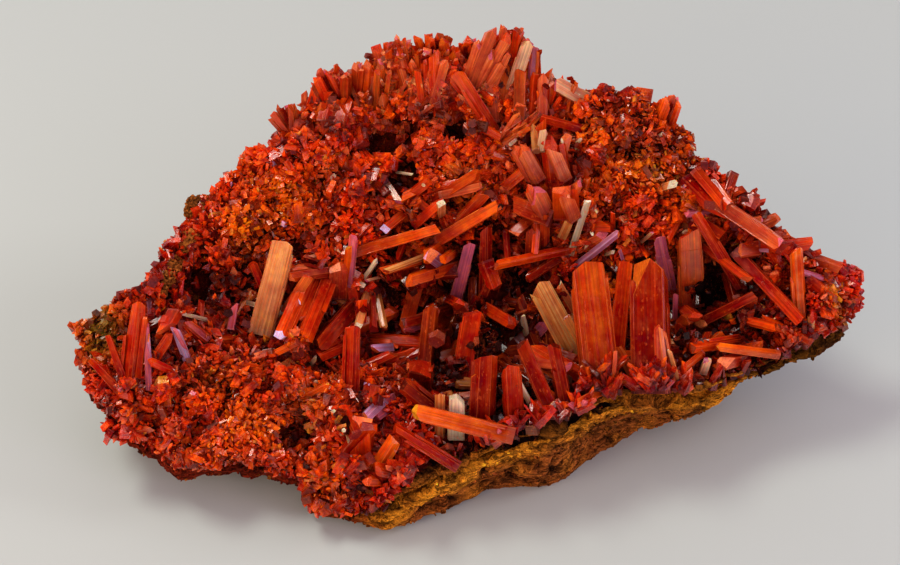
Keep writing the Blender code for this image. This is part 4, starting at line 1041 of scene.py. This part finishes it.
def ridge_body(ridge):
    """The mass in which the blocks of the ridge have grown together, up to near their tips."""
    mesh = ridge.data.copy()
    places = np.array([vert.co + vert.normal * 0.45 * MM for vert in mesh.vertices])
    places[:, 2] -= RIDGE_BODY_SINK * MM
    mesh.vertices.foreach_set("co", places.astype(np.float32).ravel())
    points, normals, faces = even_mesh(mesh, RIDGE_VOXEL)
    lift = np.empty(len(points))
    for i, place in enumerate(points):
        point = Vector(place)
        lift[i] = 0.8 * facet_relief(point * 1.3) + 0.5 * noise.noise(point / 1.6)
    # Painted shade: the mass is darker in its creases and lighter on its raised faces
    shade = np.clip(0.85 + 0.5 * lift, 0.3, 1.2)[:, None]
    colours = np.array(linear(RIDGE_MASS)) * shade * np.exp(0.2 * drift(points, 4.0, 2.0))[:, None]
    rise = np.clip(0.45 + 0.4 * drift(points, 3.0, 1.0), 0, 1)
    return array_mesh("ridge_body", points + normals * lift[:, None], faces,
                      np.clip(colours, 0, 1), points, rise)


def ridge_grains(ridge, draw):
    """Rough small crystals grown on the blocks of the ridge."""
    surface = Surface(ridge)
    coated = np.clip(0.35 + drift(surface.centres, 5.0, 3.0), 0.1, 1)
    coated *= np.clip(1.2 - (surface.centres[:, 2] - RIDGE_HEIGHT - 6) / 8, 0.25, 1)
    feet, normals, _ = surface.pick(RIDGE_GRAIN_COUNT, coated, draw)
    feet, normals = (values[normals[:, 2] > -0.3] for values in (feet, normals))
    count = len(feet)
    lengths = 1.2 * np.exp(draw.normal(scale=0.4, size=count))
    widths = lengths * draw.uniform(0.4, 0.9, count)
    along, feet = rooted(feet, normals, lengths, draw, spread=0.5, cluster=0.8, sunk=0.55)
    inside = feet[:, 1] + along[:, 1] * lengths < BACK_LIMIT
    feet, along, lengths, widths = (values[inside] for values in (feet, along, lengths, widths))
    colours = np.tile(np.array(linear(RIDGE_COAT)), (len(feet), 1))
    accents = [(0.22, SALMON), (0.15, ORANGE), (0.06, TAN)]
    colours = shifted_colours(colours, feet, draw, 0.15, accents)
    return small_crystals("ridge_grains", feet, along, lengths, widths, colours, draw, flatness=0.6)


def druse_blades(places, draw):
    """Slender crystals of 2 to 5 mm, thickest in the hollow."""
    blades = crust_look(places.centres).blades
    feet, normals, chosen = places.pick(BLADE_COUNT, 0.06 + blades ** 1.5, draw)
    size, slender, _, colours = crust_look(feet)
    lengths = size * draw.uniform(1.2, 2.2, BLADE_COUNT)
    widths = lengths / (slender * draw.uniform(0.8, 1.6, BLADE_COUNT))
    along, feet = rooted(feet, normals, lengths, draw, spread=0.5, cluster=0.9, sunk=0.35)
    # The cream and lavender accents are painted glints
    accents = [(0.004, CREAM), (0.006, LAVENDER_SHEEN), (0.04, SALMON), (0.12, ORANGE), (0.1, DARK_RED)]
    # Painted shade: the blades are darker where they crowd in the hollow
    colours = shifted_colours(colours * (1.1 - 0.3 * blades[chosen, None]), feet, draw, 0.18, accents)
    return small_crystals("druse_blades", feet, along, lengths, widths, colours, draw, flatness=0.7)


# Striated crystals

def section_corners(width, thickness, form):
    """Corners of a crystal's cross-section, anticlockwise."""
    a, b = width / 2, thickness / 2
    bevel = 0.14 * min(a, b)
    if form == "slab":
        return [(a, -b + bevel), (a, b - bevel), (a - bevel, b), (-a + bevel, b), (-a, b - bevel),
                (-a, -b + bevel), (-a + bevel, -b), (a - bevel, -b)]
    if form == "ridge":
        return [(a, -0.3 * b), (a, 0.3 * b), (0.15 * a, b), (-0.2 * a, b), (-a, 0.25 * b),
                (-a, -0.3 * b), (-0.2 * a, -b), (0.3 * a, -b)]
    return [(a, 0), (a / 2, b), (-a / 2, b), (-a, 0), (-a / 2, -b), (a / 2, -b)]


def striated_outline(corners, spacing, depth, draw):
    """Points round a section, each with its rim value: 1 at a corner and 0 in a face. Grooves
    between the corners make the striations."""
    outline = []
    corners = [Vector(c) for c in corners]
    for start, end in zip(corners, corners[1:] + corners[:1]):
        along = end - start
        length = along.length
        out = Vector((along.y, -along.x)) / length
        outline.append((start, 1.0))
        inset = min(0.13, 0.25 * length)
        count = max(1, round((length - 2 * inset) / spacing))
        for i in range(count + 1):
            place = (inset + (length - 2 * inset) * i / count) / length
            groove = draw.uniform(0.2, 1.0) * depth if draw.random() < 0.55 else 0.0
            outline.append((start + along * place - out * groove, 0.0))
    return outline


def cut(bm, point, normal):
    """Cuts away what lies beyond a plane and closes the end. Returns the new faces."""
    parts = bm.verts[:] + bm.edges[:] + bm.faces[:]
    done = bmesh.ops.bisect_plane(bm, geom=parts, plane_co=point, plane_no=normal,
                                  clear_outer=True)
    edges = [item for item in done["geom_cut"] if isinstance(item, bmesh.types.BMEdge)]
    if not edges:
        return []
    return bmesh.ops.holes_fill(bm, edges=edges, sides=0)["faces"]


def level_direction(angle):
    """The direction square to Z at an angle."""
    return Vector((math.cos(angle), math.sin(angle), 0))


def chip_tip(bm, length, wide, chips, draw):
    """Makes small breaks at the tip. Returns the new faces."""
    faces = []
    for _ in range(chips):
        turn = draw.uniform(0, 2 * math.pi)
        normal = (level_direction(turn) + Vector((0, 0, draw.uniform(0.3, 1.4)))).normalized()
        depth = draw.uniform(0.5, 0.9) * wide
        point = level_direction(turn) * depth + Vector((0, 0, length - draw.uniform(0.2, 1.6)))
        faces += cut(bm, point, normal)
    return faces


def striated_prism(outline, length, rings, finish, tip_cuts, chips, draw, taper=0.9):
    """A bmesh of one crystal along +Z with its foot at the origin, in millimetres. Each tip cut
    is a point and a direction, chips is the number of small breaks at the tip, and taper is the
    tip's width over the foot's."""
    main, stripe, stripe_share, end = (linear(c) if isinstance(c, str) else c for c in finish)
    bm = bmesh.new()
    grain = bm.verts.layers.float_vector.new("grain")
    rim = bm.verts.layers.float.new("rim")
    rise = bm.verts.layers.float.new("rise")
    colour = bm.faces.layers.float_color.new("colour")
    over = 2.5
    heights = [0.0] + sorted(draw.uniform(0.08, 0.95) * length for _ in range(rings))
    heights.append(length + over)
    layers = []
    for height in heights:
        scale = 1 - (1 - taper) * height / length + draw.uniform(-0.006, 0.006)
        shift = Vector((draw.uniform(-0.03, 0.03), draw.uniform(-0.03, 0.03)))
        layer = []
        for point, rim_value in outline:
            flat = point * scale + shift
            vert = bm.verts.new((flat.x, flat.y, height))
            vert[rim] = rim_value
            layer.append(vert)
        layers.append(layer)
    count = len(outline)
    shades = []
    for _ in range(count):
        base = mixed(main, stripe, 0.42) if draw.random() < stripe_share else main
        shade = draw.uniform(0.92, 1.08)
        shades.append((*(min(1.0, c * shade) for c in base), 1.0))
    for lower, upper in zip(layers, layers[1:]):
        for i in range(count):
            j = (i + 1) % count
            face = bm.faces.new((lower[i], lower[j], upper[j], upper[i]))
            face[colour] = shades[i]
    bm.faces.new(list(reversed(layers[0])))[colour] = (*main, 1.0)
    ends = []
    for point, normal in tip_cuts:
        ends += cut(bm, point, normal)
    wide = max(abs(point.x) for point, _ in outline)
    ends += chip_tip(bm, length, wide, chips, draw)
    for face in ends:
        if face.is_valid:
            face[colour] = (*end, 1.0)
    for vert in bm.verts:
        vert[grain] = vert.co
        vert[rise] = min(1.0, vert.co.z / length)
    return bm


def roof_tip(length, slants, towards):
    """Two faces that meet in a ridge across the tip."""
    cuts = []
    for slant, turn in ((slants[0], towards), (slants[1], towards + math.pi)):
        normal = level_direction(turn) * math.sin(slant) + Vector((0, 0, math.cos(slant)))
        cuts.append((Vector((0, 0, length)), normal))
    return cuts


def backward_tip(length, thickness, slants, draw):
    """Breaks that slope down from the front face, with a smaller one to a side."""
    front = Vector((0, thickness / 2, length))
    back = Vector((draw.uniform(-0.3, 0.3), -math.sin(slants[0]), math.cos(slants[0])))
    side = Vector((draw.choice((-1, 1)) * math.sin(slants[1]) * 0.7, -0.3, math.cos(slants[1])))
    return [(front, back.normalized()), (front, side.normalized())]


def crystal_frame(foot, tip, turn):
    """Side, face and length directions: the broad face looks forward and up, then turns."""
    along = (tip - foot).normalized()
    face = FRONT_AND_UP - along * along.dot(FRONT_AND_UP)
    if face.length < 0.2:
        face = Vector((0, 0, 1)) - along * along.z
    face.normalize()
    face.rotate(Matrix.Rotation(math.radians(turn), 3, along))
    return Matrix((face.cross(along), face, along)).transposed()


def pattern_shift(draw):
    """Moves the pattern of one crystal, so that no two carry the same streaks."""
    return Vector([draw.uniform(0, 80) for _ in range(3)])


def add_to_piece(piece, bm, frame_matrix, start, shift):
    """Places a crystal in the specimen and adds it to the piece's bmesh."""
    place = Matrix.Scale(MM, 4) @ Matrix.Translation(start) @ frame_matrix.to_4x4()
    grain = bm.verts.layers.float_vector["grain"]
    for vert in bm.verts:
        vert[grain] = Vector(vert[grain]) + shift
    bmesh.ops.transform(bm, verts=bm.verts, matrix=place)
    bmesh.ops.recalc_face_normals(bm, faces=bm.faces)
    mesh = as_mesh(bm, "crystal")
    piece.from_mesh(mesh)
    bpy.data.meshes.remove(mesh)


def large_crystal(piece, foot, tip, width, thickness, turn, finish):
    """A large crystal with the thinner ones that grew along its sides."""
    foot_place, tip_place = Vector(foot), Vector(tip)
    matrix = crystal_frame(foot_place, tip_place, turn)
    draw = random.Random(f"{tuple(foot_place)}{tuple(tip_place)}")
    slants = [math.radians(draw.uniform(*TIP_SLANTS)) for _ in range(2)]
    towards = draw.choice((0.0, 0.5, 1.0, 1.5)) * math.pi
    sunk = SOCKET_DEPTH + 0.8
    length = (tip_place - foot_place).length + sunk
    start = foot_place - BOX_CENTRE - matrix.col[2] * sunk
    colours = FINISHES[finish]

    # The thick blocks at the left of the ridge are bundles of slivers
    if width > 2.9 and foot_place.z > RIDGE_HEIGHT and foot_place.x < 10:
        splintered_block(piece, start, tip_place - BOX_CENTRE, width * 1.1, colours, draw,
                         spread=0.06)
        return

    # A thick crystal has deeper grooves, farther apart, and more thin crystals along its sides
    form = draw.choice(SECTION_FORMS)
    depth = 0.026 + 0.008 * width
    spacing = 0.3 + 0.03 * width
    grown = 3 if width > 4 else (2 if width > 2.2 else 0)
    main_share = 0.92 if grown else 1.0
    outline = striated_outline(section_corners(width * main_share, thickness * main_share, form),
                               spacing, depth, draw)
    if finish in SHOWN_ENDS:
        cuts = roof_tip(length, slants, towards)
    else:
        cuts = backward_tip(length, thickness, slants, draw)
    chips = draw.randint(1, 2) + int(width / 3) + (3 if foot_place.z > RIDGE_HEIGHT else 0)
    taper = 0.55 if foot_place.x < LEFT_LOBE else 0.9
    bm = striated_prism(outline, length, LARGE_RINGS, colours, cuts, chips, draw, taper)
    shift = pattern_shift(draw)
    add_to_piece(piece, bm, matrix, start, shift)
    for _ in range(grown):
        side = draw.choice((-1, 1))
        small_width = width * draw.uniform(0.18, 0.34)
        small_thickness = thickness * draw.uniform(0.35, 0.6)
        across = side * (width - small_width) / 2
        through = draw.uniform(-0.2, 0.35) * (thickness - small_thickness)
        outline = striated_outline(section_corners(small_width, small_thickness, "slab"),
                                   spacing, depth * 0.7, draw)
        small_length = length * draw.uniform(0.5, 0.93)
        cuts = backward_tip(small_length, small_thickness, slants, draw)
        bm = striated_prism(outline, small_length, SIDE_RINGS, colours, cuts, 2, draw, taper)
        offset = matrix @ Vector((across, through, 0))
        add_to_piece(piece, bm, matrix, start + offset, shift + Vector((9, 9, 9)))


def large_crystals():
    """One piece for each crystal node of the solid model, in its place."""
    pieces = {}
    for name, foot, tip, width, thickness, turn, finish in LARGE_CRYSTALS:
        bm = pieces.setdefault(name, bmesh.new())
        large_crystal(bm, foot, tip, width, thickness, turn, finish)
    made = []
    for name, bm in pieces.items():
        piece = bmesh_object(f"{name}_crystal", bm)
        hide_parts(name)
        made.append(piece)
    return made


def clear_of_large(foot, tip, margin):
    """Whether a small prism keeps clear of the large crystals' lengths."""
    for _, large_foot, large_tip, width, _, _, _ in LARGE_CRYSTALS:
        a, b = Vector(large_foot) - BOX_CENTRE, Vector(large_tip) - BOX_CENTRE
        for place in (tip, (foot + tip) / 2):
            along = b - a
            share = max(0.0, min(1.0, (place - a).dot(along) / along.length_squared))
            if (place - a - along * share).length < width / 2 + margin:
                return False
    return True


def rise_above(tree, point):
    """How far a point lies outside a closed surface, negative when inside it."""
    distance = tree.find_nearest(point)[3]
    normal = tree.ray_cast(point, UPWARD)[1]
    return -distance if normal is not None and normal.z > 0 else distance


def jumbled_prism(piece, foot, tip, width, finish, chips, slant_range=(5, 50)):
    """A prism of the crust, with its own faces, tip and chips, sunk a little at its foot."""
    draw = random.Random(f"{tuple(foot)}{width}")
    matrix = crystal_frame(foot, tip, draw.uniform(-35, 35))
    form = draw.choice(SECTION_FORMS)
    thickness = width * draw.uniform(0.6, 0.9)
    corners = section_corners(width, thickness, form)
    outline = striated_outline(corners, spacing=0.4, depth=0.04, draw=draw)
    slants = [math.radians(draw.uniform(*slant_range)) for _ in range(2)]
    length = (tip - foot).length + PRISM_SINK
    cuts = roof_tip(length, slants, draw.uniform(0, 2 * math.pi))
    if draw.random() < 0.6:
        cuts = cuts[:1]
    bm = striated_prism(outline, length, PRISM_RINGS, finish, cuts, chips, draw)
    add_to_piece(piece, bm, matrix, foot - matrix.col[2] * PRISM_SINK, pattern_shift(draw))


def sight_line(column, row):
    """The camera's place and the direction from it through a point of the picture."""
    step = SENSOR_MM / PICTURE_WIDTH
    sideways = (column - PICTURE_CENTRE[0]) * step
    down = (row - PICTURE_CENTRE[1]) * step
    forward = Vector(FORWARD)
    direction = forward * LENS_MM + Vector((sideways, 0, 0)) - Vector(PICTURE_UP) * down
    return Vector(CAMERA_TARGET) - forward * CAMERA_DISTANCE, direction.normalized()


def in_mm(size):
    """A size in picture points as millimetres on the specimen."""
    return size * SENSOR_MM / PICTURE_WIDTH * CAMERA_DISTANCE / LENS_MM


def seen_place(tree, column, row, height, beside=None):
    """The place over the crust that the camera sees there. Where the line of sight passes the crust,
    it is the nearest place on the line, and one far behind the place beside comes forward to it."""
    camera, direction = sight_line(column, row)
    found = tree.ray_cast(camera, direction)[0]
    if found is None:
        near = min(range(*SIGHT_RANGE),
                   key=lambda step: tree.find_nearest(camera + direction * step)[3])
        found = camera + direction * near
    if beside is not None and (found - beside).length > TIP_REACH:
        found = camera + direction * (beside - camera).length
    return found - direction * height


def splintered_block(piece, foot, tip, width, finish, draw, spread=0.25):
    """A block of slivers side by side, broken off at different heights. Spread is how far they
    lean apart."""
    matrix = crystal_frame(foot, tip, 0)
    length = (tip - foot).length
    slivers = 4 + int(width / 1.2)
    finishes = [finish] * 3 + [FINISHES[name] for name in ("salmon", "fibrous", "rosy")]
    for step in range(slivers):
        across = width * ((step + draw.uniform(0.1, 0.9)) / slivers - 0.5)
        side = matrix @ Vector((across, width * draw.uniform(-0.35, 0.35), 0))
        top = foot + matrix.col[2] * length * draw.uniform(0.52, 1.0)
        splay = side * draw.uniform(0.0, 0.3)
        splay += draw.uniform(-spread, spread) * length * matrix.col[0]
        jumbled_prism(piece, foot + side, top + side + splay,
                      width * draw.uniform(0.2, 0.5), draw.choice(finishes), chips=1,
                      slant_range=(30, 62))


def joined_tree(names):
    """A search tree over the solids of several nodes."""
    points, faces = [], []
    for name in names:
        node_points, node_faces = mesh_arrays(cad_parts[name].data)
        faces.append(node_faces + sum(len(part) for part in points))
        points.append(node_points)
    return tree_of(np.concatenate(points), np.concatenate(faces))


def foot_splinters(front_tree, draw):
    """Short broken splinters in which the feet of the tall prisms flare out."""
    to_camera = -sight_line(*PICTURE_CENTRE)[1]
    upward = Vector((1, 0, 0)).cross(-to_camera)
    feet, along, shades = [], [], []
    for first, last, count in SPLINTERED_FEET:
        for share in draw.random(count):
            column = mixed(first, last, share)[0] + draw.normal()
            row = mixed(first, last, share)[1] + draw.normal() * 3
            feet.append(seen_place(front_tree, column, row, draw.uniform(-0.2, 1.1)))
            sideways = (share - 0.5) * 1.5 + draw.normal() * 0.8
            direction = Vector((sideways, 0, 0)) + upward + to_camera * draw.normal() * 0.8
            along.append(direction.normalized())
            shades.append(linear(draw.choice([RED, RED_ORANGE, DEEP_RED, DEEP_RED, RED])))
    feet, along, colours = np.array(feet), np.array(along), np.array(shades)
    lengths = draw.uniform(1.8, 5.0, len(feet))
    widths = draw.uniform(0.8, 2.3, len(feet))
    colours = shifted_colours(colours, feet, draw, 0.12, [(0.04, PINK), (0.08, ORANGE)])
    return small_crystals("foot_splinters", feet - along * 0.8, along, lengths, widths, colours,
                          draw, flatness=0.6)


def seen_crystals(crust_tree, front_tree):
    """The crust's crystals that can be told apart, each where the camera sees it."""
    piece, ridge = bmesh.new(), bmesh.new()
    draw = random.Random(SPLINTER_SEED)
    for column, row, tip_column, tip_row, width, height, finish in SEEN_CRYSTALS:
        splintered = width > (RIDGE_BLOCK_WIDTH if row < RIDGE_ROW else BLOCK_WIDTH)
        foot = seen_place(crust_tree, column, row, height * 0.3 - (3.5 if splintered else 1.0))
        tip = seen_place(crust_tree, tip_column, tip_row, height, foot)
        if splintered:
            splintered_block(ridge, foot, tip, in_mm(width), FINISHES[finish], draw)
        else:
            jumbled_prism(piece, foot, tip, in_mm(width), FINISHES[finish], chips=1)
    for column, row, tip_column, tip_row, width, height, finish in FLARED_FEET:
        foot = seen_place(front_tree, column, row, 0.2)
        tip = seen_place(front_tree, tip_column, tip_row, height, foot)
        jumbled_prism(piece, foot, tip, in_mm(width), FINISHES[finish], chips=3,
                      slant_range=(45, 72))
    return bmesh_object("seen_crystals", piece), bmesh_object("ridge_splinters", ridge)


def crust_prisms(places, crust_tree, pits, draw):
    """The prisms of 3 to 10 mm that stand and lie on the crust between the large ones."""
    rows = []
    for foot, tip, width in CRUST_CRYSTALS:
        rows.append((Vector(foot) - BOX_CENTRE, Vector(tip) - BOX_CENTRE, width * 1.1))
    blades = crust_look(places.centres).blades
    tries = PRISM_COUNT * 5
    feet, normals, _ = places.pick(tries, np.clip(blades - 0.3, 0, 1) ** 1.5, draw)
    along = leaning(normals * 0.7, feet, spread=0.8, cluster=0.7, draw=draw)
    lengths = draw.uniform(5.5, 14.5, tries)
    tips = feet + along * lengths[:, None]
    in_pit = (pit_share(pits, tips) > 0.2) | (past_edge(tips) > -4)
    for foot, direction, length, hidden in zip(feet, along, lengths, in_pit):
        foot, tip = Vector(foot), Vector(foot + direction * length)
        width = length * draw.uniform(0.12, 0.2) + 1.1
        buried = foot - Vector(direction) * 0.3 * length
        if hidden or foot.x < FAR_LEFT or rise_above(crust_tree, buried) > -width / 2:
            continue
        if rise_above(crust_tree, tip) < PRISM_REACH and clear_of_large(foot, tip, 0.5):
            rows.append((buried, tip, width))
    rows = rows[:len(CRUST_CRYSTALS) + PRISM_COUNT]
    feet = np.array([row[0] for row in rows])
    colours = crust_look(feet).colours
    # The lavender accent is painted sheen
    accents = [(0.004, LAVENDER_SHEEN), (0.06, SALMON), (0.2, ORANGE), (0.03, TAN)]
    colours = shifted_colours(colours, feet, draw, 0.2, accents)
    piece = bmesh.new()
    for (foot, tip, width), colour in zip(rows, colours):
        colour = tuple(float(c) for c in colour)
        lighter = mixed(colour, linear(ORANGE), 0.35)
        finish = (colour, lighter, 0.3, mixed(colour, linear(SALMON), 0.1))
        if width > 5 or foot.z > RIDGE_HEIGHT - 4:
            splintered_block(piece, foot, tip, width * 1.2, finish, random.Random(width))
        else:
            jumbled_prism(piece, foot, tip, width, finish, chips=2)
    return bmesh_object("crust_prisms", piece)


# Limonite matrix

def limonite_rock():
    """The matrix with its foliated, pitted wall. The flat foot stays flat."""
    points, normals, faces = remeshed("limonite_matrix", MATRIX_VOXEL)
    crust_points, crust_faces = mesh_arrays(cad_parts["crocoite_crust"].data)
    crust_tree = tree_of(crust_points, crust_faces)
    lift = np.zeros(len(points))
    colours = np.empty((len(points), 3))
    for i, place in enumerate(points):
        point = Vector(place)
        lift[i] = rock_relief(point)
        away = crust_tree.find_nearest(point)[3]
        powder = 1 - min(1.0, away / (5.0 + 4.0 * noise.noise(point / 8)))
        colours[i] = rock_colour(point, lift[i], powder * 1.3 + 0.7 * noise.noise(point / 5))
    foot = np.clip((points[:, 2] - 0.4) / 1.6, 0, 1)
    moved = points + normals * (lift * foot)[:, None]
    moved[:, 2] = np.maximum(moved[:, 2], 0.0)
    return array_mesh("limonite_rock", moved, faces, colours, points)


def limonite_crumbs(rock, crust_tree, draw):
    """Loose flakes and crumbs on the wall of the matrix."""
    surface = Surface(rock)
    wall = (np.abs(surface.normals[:, 2]) < 0.95) & (surface.centres[:, 2] > 1.2)
    for i in np.flatnonzero(wall & (surface.normals[:, 2] > 0)):
        above = crust_tree.ray_cast(Vector(surface.centres[i]), Vector((0, 0, 1)), 3.0)[0]
        wall[i] = above is None
    feet, normals, chosen = surface.pick(CRUMB_COUNT, wall, draw)
    along = leaning(normals, feet, spread=0.5, cluster=0.8, draw=draw)
    lengths = draw.uniform(0.3, 0.75, CRUMB_COUNT)
    widths = draw.uniform(0.35, 1.1, CRUMB_COUNT)
    rock_colours = np.empty(len(rock.data.vertices) * 4, np.float32)
    rock.data.attributes["colour"].data.foreach_get("color", rock_colours)
    colours = rock_colours.reshape(-1, 4)[surface.faces[chosen, 0], :3].astype(float)
    accents = [(0.2, CRUMB_OCHRE), (0.15, CRUMB_BROWN)]
    colours = shifted_colours(colours * 1.1, feet, draw, 0.3, accents, 0.1)
    return small_crystals("limonite_crumbs", feet - along * 0.2, along, lengths, widths, colours,
                          draw, flatness=0.5)


def seen_rock(crust_tree):
    """Lumps of limonite at the left edge of the crust, where the camera sees them."""
    bm = bmesh.new()
    colour = bm.verts.layers.float_color.new("colour")
    for column, row, radius in SEEN_ROCK:
        size = in_mm(radius)
        place = seen_place(crust_tree, column, row, -size)
        made = bmesh.ops.create_icosphere(bm, subdivisions=4, radius=size)["verts"]
        for vert in made:
            point = vert.co + place
            lift = 0.5 * rock_relief(point * 1.3) + 0.9 * noise.noise(point * 1.6)
            moved = point + vert.co.normalized() * size * 0.5 * lift
            vert.co = moved * MM
            vert[colour] = (*rock_colour(Vector((20, 0, 0)), lift, 0.1), 1.0)
    return bmesh_object("limonite_edge", bm)


# Stage

def add_floor():
    """A sheet of pale paper, which isn't part of the specimen."""
    bpy.ops.mesh.primitive_plane_add(size=4.0, location=(0, 0, 0))
    floor = bpy.context.object
    floor.name = "floor"
    floor.data.materials.append(pale_paper("pale_paper"))


# Lights: name, place and aim in metres, size, watts, colour and use. A fill light isn't mirrored
# in the crystal faces, and a gleam is seen only in that mirror.
MIDDLE = (0, 0, 0.02)
LIGHTS = [
    ("window", (-0.56, 0.36, 1.09), MIDDLE, (0.42, 0.34), 5.6, (0.97, 1.0, 0.93), "both"),
    ("left_side", (-0.95, -0.3, 0.45), MIDDLE, (0.5, 0.4), 1.8, (1.0, 0.77, 0.5), "fill"),
    ("right_side", (0.95, 0.15, 0.6), MIDDLE, (0.3, 0.3), 2.2, (1.0, 0.95, 1.0), "fill"),
    ("right_sky", (0.8, -0.35, 0.42), MIDDLE, (0.25, 0.3), 0.5, (0.9, 0.66, 0.95), "both"),
    ("front_low", (-0.15, -1.1, 0.3), MIDDLE, (1.4, 0.4), 1.3, (1.0, 0.97, 0.95), "fill"),
    ("ceiling", (0.3, -0.2, 1.2), MIDDLE, (0.5, 0.26), 1.1, (1.0, 0.9, 0.96), "gleam"),
    ("left_bounce", (-0.36, -0.34, 0.26), (-0.11, -0.1, 0), (0.2, 0.16), 0.36, (1.0, 0.62, 0.3),
     "fill"),
    ("right_bounce", (0.3, -0.22, 0.2), (0.12, -0.06, 0), (0.16, 0.16), 0.14, (0.84, 0.68, 1.0),
     "fill"),
]
WORLD_COLOUR = (0.97, 0.84, 1.0, 1)
WORLD_STRENGTH = 0.55


def add_area_light(name, place, aim, size, power, colour, use):
    """One rectangular light of the table."""
    light = bpy.data.lights.new(name, "AREA")
    light.shape = "RECTANGLE"
    light.size, light.size_y = size
    light.energy = power
    light.color = colour
    made = scene_object(name, light)
    made.location = place
    made.rotation_euler = (Vector(aim) - Vector(place)).to_track_quat("-Z", "Y").to_euler()
    made.visible_glossy = use != "fill"
    made.visible_diffuse = use != "gleam"


def add_lights():
    """A window from the upper left and back, with soft fill from both sides and the front."""
    for light in LIGHTS:
        add_area_light(*light)
    world = bpy.data.worlds.new("studio")
    bpy.context.scene.world = world
    world.use_nodes = True
    background = world.node_tree.nodes["Background"]
    background.inputs["Color"].default_value = WORLD_COLOUR
    background.inputs["Strength"].default_value = WORLD_STRENGTH
    world.cycles_visibility.glossy = False


def add_camera():
    """The camera at the photograph's viewing angle, without depth of field."""
    data = bpy.data.cameras.new("camera")
    data.lens = LENS_MM
    data.sensor_width = SENSOR_MM
    data.clip_start = 0.01
    camera = scene_object("camera", data)
    camera.location = sight_line(*PICTURE_CENTRE)[0] * MM
    camera.rotation_euler = (math.radians(90 - CAMERA_ELEVATION), 0, 0)
    bpy.context.scene.camera = camera


def dress():
    """The stage, the materials and the pieces, each with its material and on its body."""
    add_camera()
    add_floor()
    add_lights()
    bpy.context.scene.view_settings.view_transform = "Standard"
    bpy.context.scene.view_settings.look = "Medium High Contrast"

    prism = crocoite("crocoite_prism", streak_width=0.22, streak_length=20.0, patch_size=3.0,
                     patch_range=(0.78, 1.22), roughness=0.15, transmission=0.1, edge_highlight_share=0.3,
                     foot_shade=0.42, specular=0.2)
    druse = crocoite("crocoite_druse", **DRUSE_GRAIN, roughness=0.22, transmission=0.05,
                     foot_shade=0.3, specular=0.22)
    dull = crocoite("massive_crocoite", **DRUSE_GRAIN, roughness=0.6, transmission=0.0,
                    foot_shade=0.4, specular=0.04)
    rock_material = limonite("weathered_limonite")

    rock = limonite_rock()
    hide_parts("limonite_matrix")
    rock_tree = tree_of(*mesh_arrays(rock.data))
    crust_tree = tree_of(*mesh_arrays(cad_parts["crocoite_crust"].data))
    pits = [(np.array(seen_place(crust_tree, column, row, 0)), in_mm(radius))
            for column, row, radius in SEEN_PITS]
    skin, lift, bare = crust_skin(pits)
    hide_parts("crocoite_crust")
    skin_tree = tree_of(*mesh_arrays(skin.data))
    places = crust_surface(skin, lift, rock_tree, pits)
    draw = np.random.default_rng(GROWTH_SEED)
    on_druse = [*druse_grains(places, draw), druse_lumps(places, draw),
                druse_blades(places, draw)]
    prisms = crust_prisms(places, crust_tree, pits, draw)
    front_tree = joined_tree(["crocoite_crust", "tall_prism_left", "tall_prism_right",
                              "tall_prism_middle"])
    seen, ridge = seen_crystals(crust_tree, front_tree)
    on_druse.append(foot_splinters(front_tree, draw))
    body = ridge_body(ridge)
    on_druse += [body, ridge_grains(body, draw)]
    crumbs = limonite_crumbs(rock, skin_tree, draw)
    crystals = large_crystals()
    edge = seen_rock(crust_tree)

    for pieces, material, slot in ((on_druse, druse, "crocoite_druse"),
                                   ([skin], dull, "crocoite_druse"),
                                   ([prisms, seen, ridge, *crystals], prism, "crocoite_prism"),
                                   ([rock, crumbs, edge], rock_material, "limonite")):
        for piece in pieces:
            piece.data.materials.append(material)
            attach(piece, "root")
    skin.data.materials.append(rock_material)
    skin.data.polygons.foreach_set("material_index", bare.astype(np.int32))


dress()
